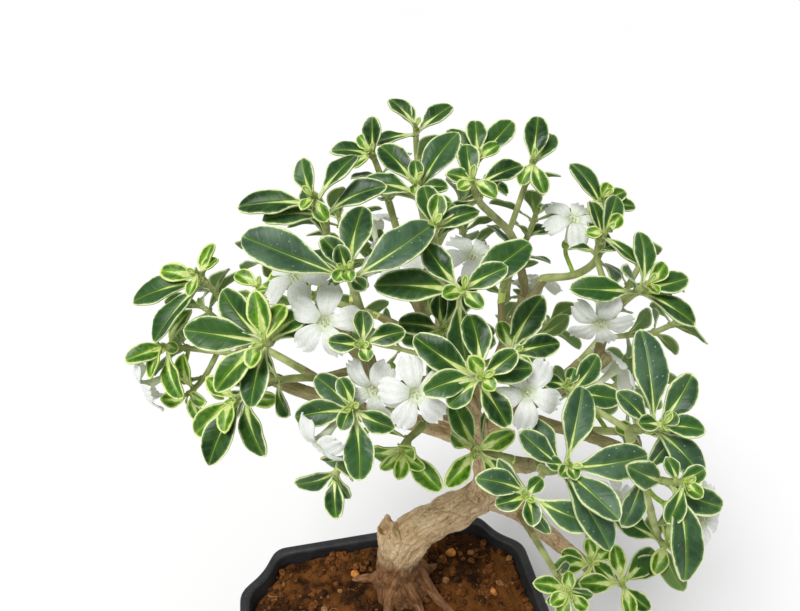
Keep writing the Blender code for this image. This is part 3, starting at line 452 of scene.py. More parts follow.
def crumb_finish():
    """Bark crumbs and clumps, some reddish and fibrous. Each crumb has its own tone."""
    bark = Finish("bark_crumb")
    tone = bark.read("tone")
    fibre = bark.noise(1100, 5, 0.75)
    broad = bark.noise(420, 3, 0.6)
    dark = bark.blend(broad, (0.026, 0.011, 0.004), (0.090, 0.036, 0.012))
    red = bark.blend(fibre, (0.080, 0.025, 0.006), (0.310, 0.120, 0.030), 0.35, 0.68)
    tan = bark.blend(fibre, (0.18, 0.080, 0.026), (0.46, 0.245, 0.100))
    colour = bark.blend(tone, dark, red, 0.25, 0.62)
    colour = bark.blend(tone, colour, tan, 0.82, 0.95)
    relief = bark.add(bark.times(fibre, 0.55), bark.times(broad, 0.45))
    return bark.end(Base_Color=colour, Roughness=bark.ramp(fibre, 0.3, 0.7, 0.72, 0.98),
                    Specular_IOR_Level=0.15, Normal=bark.bump(relief, 0.7, 0.9))


def granule_finish():
    """Coated fertiliser: a dusty orange shell with darker pores."""
    shell = Finish("orange_granule")
    broad = shell.noise(500, 3, 0.55)
    pores = shell.cells(1900)
    colour = shell.blend(broad, (0.50, 0.150, 0.020), (0.78, 0.33, 0.070))
    colour = shell.mix(shell.step(pores, 0.32, 0.12, 0, 0.55), colour, (0.16, 0.055, 0.018))
    return shell.end(Base_Color=colour, Roughness=shell.ramp(broad, 0.3, 0.7, 0.48, 0.75),
                     Normal=shell.bump(pores, 0.18, 0.7))


def moss_finish():
    """Moss: yellow-green at the tips, dull green between them, and brown where it is dry."""
    moss = Finish("moss")
    tip = moss.noise(2200, 3, 0.7)
    broad = moss.noise(450, 2, 0.5)
    colour = moss.blend(tip, (0.045, 0.060, 0.012), (0.30, 0.32, 0.075), 0.35, 0.68)
    colour = moss.mix(moss.step(broad, 0.55, 0.7, 0, 0.6), colour, (0.16, 0.12, 0.045))
    return moss.end(Base_Color=colour, Roughness=moss.ramp(tip, 0.3, 0.7, 0.7, 0.95),
                    Normal=moss.bump(tip, 0.8, 1.0))


def soil_body():
    """The filling: up the wall, then inwards in rings over the crumbly top."""
    bottom = even_ring(pot_outline(WALL + 6.5, FLOOR_TOP + 2.2), SOIL_RING_POINTS)
    wall_foot = even_ring(pot_outline(SOIL_INSET + 1.0, SOIL_EDGE_Z - 7), SOIL_RING_POINTS)
    edge = even_ring(pot_outline(SOIL_INSET, SOIL_EDGE_Z), SOIL_RING_POINTS)
    rings = [bottom, wall_foot]
    middle = mm(*TRUNK_FOOT, 0)
    for i in range(SOIL_RINGS):
        share = 1 - i / SOIL_RINGS
        ring = []
        for corner in edge:
            place = middle + (corner - middle) * share
            place.z = mm(crumbly_height(place.x / MM, place.y / MM) - (1.2 if i == 0 else 0))
            ring.append(place)
        rings.append(ring)
    return loft(rings)


def crumb(bm, place, size, squash, tone, rng, facets=2, spikes=0.0):
    """Adds one knobbly crumb: a small sphere, squashed, turned and pushed about, with its tone on it."""
    made = bmesh.new()
    layer = made.verts.layers.float.new("tone")
    bmesh.ops.create_icosphere(made, subdivisions=facets, radius=1.0)
    turn = Matrix.Rotation(rng.uniform(0, 6.3), 4, "Z") @ Matrix.Rotation(rng.uniform(-0.6, 0.6), 4, "X")
    shape = Matrix.Diagonal((size, size * rng.uniform(0.6, 1.0), size * squash, 1))
    shift = Vector(rng.uniform(0, 60) for _ in range(3))
    for vert in made.verts:
        push = 0.30 * noise.noise(vert.co * 1.3 + shift) + 0.12 * noise.noise(vert.co * 3 + shift)
        vert.co = place + turn @ (shape @ (vert.co * (1 + push)))
        vert.co.z += mm(spikes) * rng.random() ** 2
        vert[layer] = tone
    add_shape(bm, made)


def add_shape(bm, shape):
    """Adds a small bmesh to a large one, and frees the small one."""
    mesh = mesh_of(shape)
    bm.from_mesh(mesh)
    bpy.data.meshes.remove(mesh)


def over_soil(rng):
    """A random place on the soil, inside the pot and off the root stock."""
    while True:
        x = rng.uniform(-POT_HALF_LENGTH, POT_HALF_LENGTH)
        y = rng.uniform(-POT_HALF_DEPTH, POT_HALF_DEPTH)
        inset_x = POT_HALF_LENGTH - abs(x) - SOIL_INSET
        inset_y = POT_HALF_DEPTH - abs(y) - SOIL_INSET
        corner = inset_x / CORNER_CUT_X + inset_y / CORNER_CUT_Y
        by_trunk = math.hypot(x - TRUNK_FOOT[0], y - TRUNK_FOOT[1]) < ROOT_STOCK_REACH
        if inset_x > 0.8 and inset_y > 0.8 and corner > 0.95 and not by_trunk:
            return x, y


def loose_crumbs():
    """The crumbs and clumps that lie over the soil."""
    rng = random.Random(21)
    bm = bmesh.new()
    bm.verts.layers.float.new("tone")
    for _ in range(CRUMBS):
        x, y = over_soil(rng)
        size = 0.55 + 1.5 * rng.random() ** 2.6
        tone = rng.random() ** 1.2
        place = mm(x, y, crumbly_height(x, y) + size * 0.15)
        crumb(bm, place, mm(size), rng.uniform(0.5, 0.8), tone, rng)
    for _ in range(CLUMPS):
        x, y = over_soil(rng)
        size = rng.uniform(1.6, 3.1)
        height = crumbly_height(x, y)
        for _ in range(CLUMP_CRUMBS):
            place = mm(x + rng.gauss(0, size * 0.42), y + rng.gauss(0, size * 0.42),
                       height + rng.uniform(-0.2, 0.5))
            crumb(bm, place, mm(size * rng.uniform(0.35, 0.62)), 0.75, rng.uniform(0.45, 0.80), rng)
    return bm


def fibres():
    """Stray fibres of peat and dead roots, curled over the crumbs."""
    rng = random.Random(22)
    bm = bmesh.new()
    layer = bm.verts.layers.float.new("tone")
    for _ in range(FIBRES):
        x, y = over_soil(rng)
        heading, length = rng.uniform(0, 360), rng.uniform(3, 9)
        curl = rng.uniform(-25, 25)
        points = []
        for i in range(FIBRE_POINTS):
            lift = 0.35 + 0.5 * math.sin(math.pi * i / (FIBRE_POINTS - 1)) * rng.uniform(0.5, 1.4)
            points.append(mm(x, y, crumbly_height(x, y) + lift))
            heading += curl + rng.uniform(-14, 14)
            x += math.cos(math.radians(heading)) * length / FIBRE_POINTS
            y += math.sin(math.radians(heading)) * length / FIBRE_POINTS
        if abs(x) > POT_HALF_LENGTH - 7 or abs(y) > POT_HALF_DEPTH - 7:
            continue
        start = len(bm.verts)
        add_shape(bm, loft(tube_rings(points, [mm(rng.uniform(0.10, 0.20))] * FIBRE_POINTS, 3)))
        bm.verts.ensure_lookup_table()
        tone = rng.uniform(0.5, 1.0)
        for vert in bm.verts[start:]:
            vert[layer] = tone
    return bm


def granules():
    """The round granules of fertiliser that lie on the soil."""
    rng = random.Random(23)
    bm = bmesh.new()
    bm.verts.layers.float.new("tone")
    for x, y, size in GRANULES:
        crumb(bm, mm(x, y, crumbly_height(x, y) + size * 0.55), mm(size), 0.9, 1.0, rng, 3)
    return bm


def moss_cushions():
    """Low cushions of moss: a mound with hundreds of little points drawn up from it."""
    rng = random.Random(24)
    bm = bmesh.new()
    bm.verts.layers.float.new("tone")
    for x, y, size in MOSS:
        for _ in range(int(size * 4)):
            away, heading = size * 0.55 * math.sqrt(rng.random()), rng.uniform(0, 6.3)
            at_x, at_y = x + away * math.cos(heading), y + away * math.sin(heading)
            place = mm(at_x, at_y, crumbly_height(at_x, at_y) + 0.25)
            crumb(bm, place, mm(rng.uniform(0.6, 1.0)), 0.75, 0.5, rng, 3, 0.22)
    return bm


def across(axis):
    """Two unit vectors square to the axis and each other: its level right-hand side, and the one above."""
    side = axis.cross(Vector((0, 0, 1)))
    if side.length < 1e-3:
        side = Vector((1, 0, 0))
    side.normalize()
    return side, side.cross(axis).normalized()


def tube_rings(path, radii, sides, ridge=0.0, first=None, last=None):
    """Rings square to a path, or to first and last at its ends. A ridge lifts every second corner."""
    rings = []
    side = across((path[1] - path[0]).normalized())[0]
    for i, (point, radius) in enumerate(zip(path, radii)):
        along = (path[min(i + 1, len(path) - 1)] - path[max(i - 1, 0)]).normalized()
        if i == 0 and first:
            along = first
        if i == len(path) - 1 and last:
            along = last
        side = (side - along * side.dot(along)).normalized()
        up = side.cross(along)
        rings.append([
            point + (side * math.cos(a) + up * math.sin(a)) * radius * (1 + ridge * (-1) ** k)
            for k, a in enumerate(2 * math.pi * j / sides for j in range(sides))
        ])
    return rings


peat = earth_finish()
bark_crumb = crumb_finish()
add_piece("soil_bed", soil_body(), [peat], ["soil"])
add_piece("bark_crumbs", loose_crumbs(), [bark_crumb])
add_piece("peat_fibres", fibres(), [bark_crumb])
add_piece("orange_granules", granules(), [granule_finish()])
add_piece("moss", moss_cushions(), [moss_finish()])


# The tree is planned here before it is made: the course of the trunk and its limbs, and where every twig,
# leaf and bloom goes. Twigs leave bare branchlets and carry crosswise pairs of leaves, and nothing crosses
# another.

GAP = 0.3 * MM  # between a branchlet's end and its twig, and between a bloom's foot and its calyx

# Path points with their radii, from the buried root stock to the top of the leader
TRUNK_PATH = [
    ((4.5, 17, 26), 8.4), ((4.5, 17, 42), 10.4), ((3.6, 17, 53), 8.2), ((4.4, 17, 62), 7.6),
    ((9, 17, 72), 7.2), ((17, 17, 78.5), 6.4), ((26, 16, 84.5), 5.8), ((32.5, 15, 93), 5.0),
    ((31.5, 13, 108), 4.4), ((28, 12, 123), 3.9), ((21, 12, 140), 3.2), ((16, 13, 158), 2.5),
    ((14, 15, 176), 1.8),
]

# Limbs: path points from inside the leader to the tip, and the radius at each end
LIMBS = {
    "left": ([(28, 12, 120), (14, 9, 132), (-6, 9, 143), (-26, 12, 153), (-40, 17, 160)], 3.0, 1.5),
    "front_left": ([(25, 12, 130), (16, 3, 143), (4, -2, 156), (-6, -3, 168)], 2.6, 1.4),
    "front_right": ([(30, 12, 114), (34, -1, 124), (33, -12, 136), (32, -19, 146)], 2.8, 1.5),
    "right": ([(29, 12, 126), (41, 7, 140), (50, 1, 153), (54, -4, 164)], 2.6, 1.4),
    "right_front": ([(37, 6.0, 135.5), (46, -6, 141), (52, -18, 147), (54, -27, 152)], 2.0, 1.3),
    "back": ([(21, 12, 139), (17, 26, 150), (12, 39, 158)], 2.4, 1.4),
    "back_left": ([(5, 8.5, 137.3), (-5, 22, 148), (-14, 34, 157)], 2.0, 1.3),
    "back_right": ([(24, 12, 134), (36, 22, 148), (44, 30, 162)], 2.4, 1.4),
    "low_right": ([(30, 15, 92), (44, 12.5, 83), (56, 8, 71), (65, -1, 66), (71, -12, 70)], 4.2, 2.0),
}

# The crown is a dome: its heart, its three radii, and the turn of its long axis about Z
CROWN_HEART = (11, 13, 150)
CROWN_RADII = (74, 45, 62)
CROWN_TURN = -10.9

# Shoots seen in the photograph. Each row: tip, heading and rise of its axis, and its leaves.
# Leaves are either (turn, spread, length) each, oldest first, or ("pairs", turn, length, pairs).
# turn goes round the axis from its level right-hand side, spread is the angle between leaf and axis.
# A shoot with no leaves is a pruned twig.
SPRAYS = {
    "front_left": [
        ((-12, -9, 202), -100, 62, [(20, 80, 24.5), (145, 85, 22), (100, 85, 17), (-140, 95, 5),
                                    (50, 65, 9.5), (70, 55, 6.5), (-55, 75, 4.5), (-110, 75, 4)]),
        ((-10, -14, 186), -100, 48, [(165, 85, 10), (5, 90, 8), (90, 90, 8), (-110, 70, 4.5)]),
    ],
    "left_star": [
        ((-30, -9, 186), -125, 48, [(-10, 70, 19), (-100, 80, 15), (30, 85, 17), (120, 100, 11.5),
                                    (-65, 80, 15), (65, 70, 12), (-90, 70, 7), (90, 105, 10)]),
        ((-31, 19, 181), -145, 70, ("pairs", 90, 11, 2)),
    ],
    "mid": [
        ((12, -11, 195), -105, 58, [(0, 85, 19), (140, 90, 20), (50, 80, 13.5), (155, 70, 11.5),
                                    (-30, 65, 6), (-135, 80, 6.5)]),
        ((8, 0, 205), -100, 60, [(160, 80, 11), (80, 90, 12), (100, 70, 7.5), (125, 95, 8)]),
    ],
    "centre": [
        ((13, -25, 183), -100, 50, [(35, 90, 16.5), (-120, 85, 12.5), (-15, 80, 13), (85, 95, 14.5),
                                    (-40, 95, 9.5), (145, 85, 10), (55, 65, 6), (-125, 65, 4.5)]),
        ((25, -11, 176), -85, 50, [(135, 85, 17.5), (180, 75, 13), (85, 95, 8.5), (-110, 75, 6.5)]),
    ],
    "heart": [
        ((11, 0, 176), -100, 45, ("pairs", 100, 16, 2)),
    ],
    "low_centre": [
        ((17, -13, 147), -95, 30, ("pairs", 60, 16, 2)),
    ],
    "right_star": [
        ((30, -36, 165), -80, 58, [(-100, 85, 19.5), (55, 85, 12.5), (-170, 75, 19), (120, 75, 18),
                                   (35, 105, 4.5), (-85, 70, 4), (-25, 80, 4)]),
        ((21, -37, 158), -105, 58, [(10, 75, 13), (-160, 85, 16), (-20, 85, 8), (-100, 75, 7),
                                    (130, 95, 6)]),
    ],
    "right_tall": [
        ((50, -35, 172), -85, 60, [(100, 80, 22), (-160, 80, 10.5), (140, 75, 14.5), (15, 85, 6),
                                   (155, 70, 4.5)]),
        ((38, -14, 166), -80, 50, [(145, 80, 12), (-155, 80, 13), (30, 100, 6), (130, 80, 5.5)]),
    ],
    "right_hang": [
        ((52, -44, 164), -80, 50, [(-75, 90, 20.5), (170, 70, 7), (85, 90, 6), (-50, 100, 9.5),
                                   (-120, 70, 5)]),
    ],
    "right_top": [
        ((58, -6, 187), -60, 55, [(35, 105, 17), (-115, 80, 16), (125, 80, 15), (-160, 70, 12.5),
                                  (-95, 65, 4), (160, 60, 7.5)]),
        ((51, 5, 196), -50, 50, [(120, 85, 11.5), (-95, 75, 10.5), (150, 75, 12.5), (40, 120, 5),
                                 (165, 50, 6)]),
    ],
    "right_back": [
        ((61, -15, 147), -60, 50, [(125, 85, 10.5), (-145, 65, 8.5), (40, 110, 7)]),
    ],
    "top": [
        ((20, 13, 208), -110, 62, [(145, 90, 13.5), (10, 75, 7.5), (75, 75, 11), (-145, 90, 7.5),
                                   (-45, 80, 5)]),
        ((40, 27, 205), -95, 70, [(105, 70, 15), (125, 85, 13.5), (-55, 110, 7.5), (-100, 105, 10)]),
    ],
    "top_left": [
        ((9, 22, 204), -115, 62, [(0, 80, 14.5), (110, 85, 20), (40, 80, 15.5), (165, 95, 8),
                                  (75, 70, 6.5), (-90, 80, 4)]),
        ((14, 47, 208), -100, 80, [(140, 75, 14), (-15, 95, 13), (50, 70, 12), (65, 70, 9)]),
    ],
    "left_shoulder": [
        ((-16, 16, 206), -150, 55, [(-45, 65, 19), (80, 100, 16), (40, 60, 11), (-100, 75, 5),
                                    (-155, 115, 7)]),
    ],
    "far_left": [
        ((-47, 33, 178), -150, 50, [(-55, 70, 21), (-95, 80, 21), (-30, 60, 12), (60, 90, 11),
                                    (95, 105, 7), (-125, 80, 7.5)]),
        ((-59, 26, 161), -145, 35, [(-60, 55, 13.5), (-145, 90, 16), (80, 110, 12), (-120, 70, 10),
                                    (165, 115, 5)]),
        ((-54, 20, 148), -125, 15, ("pairs", -105, 11, 2)),
    ],
    "left_hang": [
        ((-40, 4, 159), -120, 25, [(-80, 60, 20), (-120, 80, 17), (-50, 75, 16), (-170, 125, 9.5),
                                   (20, 90, 10), (-105, 45, 10)]),
    ],
    "under": [
        ((-13, -16, 171), -100, 40, [(-5, 90, 14), (-95, 80, 16), (-155, 85, 10.5), (65, 100, 7.5),
                                     (-65, 65, 6.5)]),
        ((-18, -20, 154), -115, -5, [(-15, 65, 11.5), (-110, 40, 10.5), (-130, 65, 7)]),
        ((-17, -12, 167.5), 175, 10, []),
    ],
    "low_mid": [
        ((-1, -11, 148), -95, 5, [(-135, 60, 15), (-160, 40, 8.5), (-70, 40, 7.5), (-35, 75, 7.5)]),
    ],
    "back_shoulder": [
        ((55, 17, 198), -70, 60, [(80, 80, 15), (175, 70, 8), (-150, 75, 9), (140, 70, 5.5),
                                  (-25, 100, 6)]),
    ],
    "top_back": [
        ((28, 35, 203), -100, 65, [(130, 80, 17), (55, 80, 13), (90, 80, 12.5), (145, 80, 8)]),
    ],
    "crest_left": [
        ((1, 40, 205), -130, 60, [(75, 50, 11), (-25, 65, 12), (-65, 85, 7), (30, 70, 6.5)]),
    ],
    "low_right_near": [
        ((57, -16, 91), -110, 70, [(-15, 85, 13), (-70, 105, 13.5), (75, 70, 8), (145, 85, 8.5)]),
        ((64, -24, 90), -95, 65, [(160, 80, 15.5), (5, 90, 13.5), (145, 90, 16), (-95, 100, 10),
                                  (85, 75, 12)]),
    ],
    "low_right_front": [
        ((44, -28, 98), -125, 60, [(-10, 75, 10.5), (-90, 95, 8.5), (-160, 105, 7.5), (75, 80, 6.5),
                                   (-50, 75, 7)]),
    ],
    "low_right_high": [
        ((67, -31, 119), -90, 60, [(35, 85, 15.5), (-145, 95, 11), (110, 80, 10), (-50, 95, 9)]),
    ],
}

# Blooms seen in the photograph: throat, heading and rise of the way that each faces, turn of its first lobe
BLOOMS = {
    "left": ((-17, -7, 188), -110, 35, 95),
    "upper_left": ((-22, 7, 191), -135, 60, 10),
    "centre": ((0, -21, 177), -100, 35, 80),
    "centre_behind": ((-8, -14, 173), -125, 5, 40),
    "right": ((24, -23, 175), -95, 40, 60),
    "nodding": ((-21, -18, 163), -140, -20, 0),
    "inner": ((20, 9, 190), -65, 70, 20),
    "back_right": ((50, 20, 191), -100, 75, 50),
    "under_leaf": ((49, -5, 176.5), -110, -5, 30),
    "side": ((60, 0, 156), 20, 25, 0),
    "low_edge": ((60, -44, 150), -70, 30, 70),
    "deep": ((2, 17, 187), -125, 60, 35),
    "far_left": ((-65, 22, 151), -160, -10, 15),
    "low_right": ((62, -12, 116), -55, 50, 60),
}

# Shoots that the photograph doesn't show
FILL_COUNT = 64  # points tried over the dome
FILL_REACH = 34.0  # farthest apart that two fill shoots share a spray
OUTER_SPACING = 20.5
INNER_SPACING = 24.0
INNER_DEPTH = 0.72
GOLDEN_ANGLE = 137.508
SEEN_FROM = (-101, 36)  # heading and rise of the way to the photographer
FILL_LEAF = 16.0
BACK_BLOOMS = 3
PAIR_SIZE = (1.0, 0.82, 0.45)  # size of each leaf pair of a rosette, oldest first
PAIR_SPREAD = (84, 66, 40)
SEED = 7

# What a leaf does when something is in its way: turn aside, bend down or up, and size
LEAF_TRIES = [
    (0, 0, 1), (0, -8, 1), (0, 8, 1), (9, 0, 1), (-9, 0, 1), (0, -16, 1), (0, 16, 1), (16, -8, 0.95),
    (-16, -8, 0.95), (0, -26, 0.9), (24, 0, 0.9), (-24, 0, 0.9), (0, 26, 0.85), (12, 20, 0.8),
    (-12, 20, 0.8), (0, -10, 0.7), (0, 10, 0.6),
]

# Twigs and leaves
TWIG_SIDES = 4
TWIG_RADIUS = 1.25
SHOOT_RADIUS = 0.85
PRUNED_RADIUS = 1.3
SHORTEST_TWIG = 15.0
BRANCHLET_SHARE = 0.38  # share of the way from limb to foliage that is bare wood
LEAF_KEEL = 0.45  # depth of the keel under the midrib, near the middle of the leaf
ROOT_SET = 0.4  # how far past the twig's axis a leaf's root is sunk
LEAF_FOLD = 0.2  # rise of the margins over the midrib, as a share of half the width
LEAF_DROOP = 35.0  # how far a leaf bends over from root to tip, in degrees
LOW_LEAF = 17.0
NODE_SPACING = 1.5  # between the leaf pairs of a rosette
LARGE_LEAF = 12.0
LARGE_STATIONS = (0.32, 0.7)
SMALL_STATIONS = (0.5,)
LEAF_CLEARANCE = 0.35
TWIG_CLEARANCE = 0.4
TWIG_BULGES = (0, 2, 4, 6, 9, 12)  # how far a twig bends aside, tried in turn
WOOD_TRIES = 12  # nearest places on the wood that a spray may grow from
STALK_TRIES = 40
STALK_RADIUS = 0.6

# Bloom
LOBES = 5
LOBE_LENGTH = 7.6
LOBE_WIDTH = 5.0
LOBE_STATIONS = (0.46, 0.95)
LOBE_SET = 0.7  # how far past the throat's axis a lobe's root is sunk
LOBE_DEPTH = 0.65
TUBE_LENGTH = 8.0
THROAT_RADIUS = 1.7
TUBE_FOOT_RADIUS = 0.7
CALYX_LENGTH = 2.2
CALYX_RADIUS = 1.2


def around(axis, angle):
    """The unit vector square to the axis, this many radians round it from its level right-hand side."""
    side, top = across(axis)
    return side * math.cos(angle) + top * math.sin(angle)


def smooth_path(points, steps):
    """Points on a smooth curve through the given ones, with this many steps between neighbours."""
    ends = [2 * points[0] - points[1], *points, 2 * points[-1] - points[-2]]
    curve = []
    for before, start, end, after in zip(ends, ends[1:], ends[2:], ends[3:]):
        for i in range(steps):
            t = i / steps
            curve.append(0.5 * (2 * start + (end - before) * t
                                + (2 * before - 5 * start + 4 * end - after) * t * t
                                + (3 * start - before - 3 * end + after) * t ** 3))
    return [*curve, points[-1].copy()]


def smooth_sizes(sizes, steps):
    """Numbers on a smooth curve through the given ones, in step with smooth_path."""
    return [point.x for point in smooth_path([Vector((size, 0, 0)) for size in sizes], steps)]


def limb_radii(name, path):
    """The radius of a limb at each point of its path, in metres."""
    _, thick, thin = LIMBS[name]
    return [mm(thick + (thin - thick) * i / (len(path) - 1)) for i in range(len(path))]


def bend_between(start, leave, end, arrive, steps):
    """Points on a curve that leaves start along one direction and arrives at end along another."""
    reach = (end - start).length
    points = []
    for i in range(steps + 1):
        t = i / steps
        points.append(start * (2 * t ** 3 - 3 * t * t + 1) + leave * reach * (t ** 3 - 2 * t * t + t)
                      + end * (3 * t * t - 2 * t ** 3) + arrive * reach * (t ** 3 - t * t))
    return points


class Leaf:
    """One blade: its root on the twig, its chord, the way its upper face looks, and its size in metres."""

    def __init__(self, root, axis, turn, spread, length):
        out = around(axis, math.radians(turn))
        s = math.radians(spread)
        self.root = root - out * mm(ROOT_SET)
        self.chord = (axis * math.cos(s) + out * math.sin(s)).normalized()
        self.up = (axis - self.chord * axis.dot(self.chord)).normalized()
        self.length = length * MM
        self.width = (2.0 + 0.3 * length) * MM

    def midrib(self, s):
        """The point on the midrib at a share of the length, and the way that the blade faces there."""
        droop = math.radians(LEAF_DROOP)
        rise = self.length * droop / 2 * s * (1 - s)
        face = (self.up - self.chord * droop / 2 * (1 - 2 * s)).normalized()
        return self.root + self.chord * self.length * s + self.up * rise, face

    def half_width(self, s):
        """Half the blade's width at a share of the length. It is widest past the middle."""
        swell = math.sin(math.pi * min(s, 1.0) ** 1.2)
        return self.width / 2 * swell ** (1.0 if s < 0.56 else 0.75)

    def rings(self, stations, keel=LEAF_KEEL * MM, widen=0.0):
        """Three-cornered sections of the blade, from margin to margin and down to the keel, and its tip."""
        rings = []
        for s in stations:
            middle, face = self.midrib(s)
            side = face.cross(self.chord).normalized()
            half = self.half_width(s) + widen
            margin = face * (half * LEAF_FOLD + widen)
            rings.append([middle + side * half + margin, middle - side * half + margin,
                          middle - face * keel * (1.6 - s)])
        return rings, self.midrib(1.0)[0]

    def solid(self):
        """The blade in few faces: large leaves have a section more than small ones."""
        rings, tip = self.rings(LARGE_STATIONS if self.length > LARGE_LEAF * MM else SMALL_STATIONS)
        return loft(rings, tip, self.root)


class Bloom:
    """One corolla: its throat, the way it faces, and the turn of its first lobe."""

    def __init__(self, throat, face, turn):
        self.throat, self.face, self.turn = throat, face, turn
        self.foot = throat - face * TUBE_LENGTH * MM

    def tube(self):
        """The narrow tube under the lobes."""
        path = [self.foot, self.throat - self.face * 2.6 * MM, self.throat + self.face * 0.4 * MM]
        return loft(tube_rings(path, [mm(TUBE_FOOT_RADIUS), mm(1.0), mm(THROAT_RADIUS)], 5))

    def lobe(self, index):
        """One lobe, from its root inside the throat to its blunt end."""
        out = around(self.face, math.radians(self.turn + 360 / LOBES * index))
        rings = []
        for s in LOBE_STATIONS:
            lift = 1.3 * math.sin(math.pi * min(s * 1.15, 1.0)) - 0.9 * s * s
            middle = self.throat + out * mm(0.7 + LOBE_LENGTH * s) + self.face * mm(lift - 0.2)
            half = mm(LOBE_WIDTH / 2) * (0.45 + 0.55 * math.sin(math.pi * min(0.8 * s, 1.0)))
            wide = self.face.cross(out)
            rings.append([middle + wide * half, middle - wide * half, middle - self.face * mm(LOBE_DEPTH)])
        return loft(rings, root=self.throat - out * mm(LOBE_SET) - self.face * mm(0.3))


def box_of(bm):
    """The lowest and the highest corner of a shape."""
    low = Vector(min(v.co[i] for v in bm.verts) for i in range(3))
    high = Vector(max(v.co[i] for v in bm.verts) for i in range(3))
    return low, high


class Garden:
    """Solids already placed, for keeping later ones clear of them."""

    def __init__(self):
        self.kept = []

    def add(self, bm, owner):
        """Keeps a shape under its owner's name."""
        self.kept.append((BVHTree.FromBMesh(bm), *box_of(bm), owner))

    def meets(self, bm, ignore=()):
        """True if the shape crosses a kept one whose owner isn't to be ignored."""
        low, high = box_of(bm)
        tree = BVHTree.FromBMesh(bm)
        for other, other_low, other_high, owner in self.kept:
            if owner in ignore:
                continue
            if any(low[i] > other_high[i] or high[i] < other_low[i] for i in range(3)):
                continue
            if tree.overlap(other):
                return True
        return False


def dome_point(heading, rise):
    """The point of the crown's dome at this heading and rise from its heart, and the way out there."""
    turn = Matrix.Rotation(math.radians(CROWN_TURN), 3, "Z")
    way = direction(heading, rise)
    point = Vector((way[i] * CROWN_RADII[i] for i in range(3)))
    out = Vector((way[i] / CROWN_RADII[i] for i in range(3)))
    return mm(CROWN_HEART) + turn @ point * MM, (turn @ out).normalized()


def fill_shoots(rng):
    """Rows for shoots that the photograph doesn't show, spread by the golden angle, clear of posed tips.

    The first round fills the back and the sides of the dome, and the second a layer inside it.
    """
    taken = [mm(row[0]) for rows in SPRAYS.values() for row in rows]
    taken += [mm(row[0]) for row in BLOOMS.values()]
    shoots = []
    rounds = ((1.0, OUTER_SPACING, False), (INNER_DEPTH, INNER_SPACING, True))
    for depth, spacing, seen_from_front in rounds:
        for i in range(FILL_COUNT):
            height = 1 - 1.28 * (i + 0.5) / FILL_COUNT
            point, out = dome_point(i * GOLDEN_ANGLE, math.degrees(math.asin(height)))
            point = mm(CROWN_HEART) + (point - mm(CROWN_HEART)) * depth
            if (out.dot(direction(*SEEN_FROM)) > 0.1) != seen_from_front:
                continue
            if min((point - other).length for other in taken) < mm(spacing):
                continue
            lean = Vector(rng.uniform(-0.2, 0.2) for _ in range(3))
            taken.append(point)
            shoots.append((point, (out + Vector((0, 0, 0.45)) + lean).normalized(), rng.uniform(0, 180),
                           FILL_LEAF * rng.uniform(0.8, 1.2)))
    return shoots


def rosette(turn, length, pairs, rng):
    """Leaf rows of a shoot with crosswise pairs: the oldest pair is longest and most spread."""
    rows = []
    for pair in range(pairs):
        for half in (0, 180):
            rows.append((turn + 90 * pair + half + rng.uniform(-9, 9),
                         PAIR_SPREAD[pair] + rng.uniform(-9, 9),
                         length * PAIR_SIZE[pair] * rng.uniform(0.88, 1.08)))
    return rows


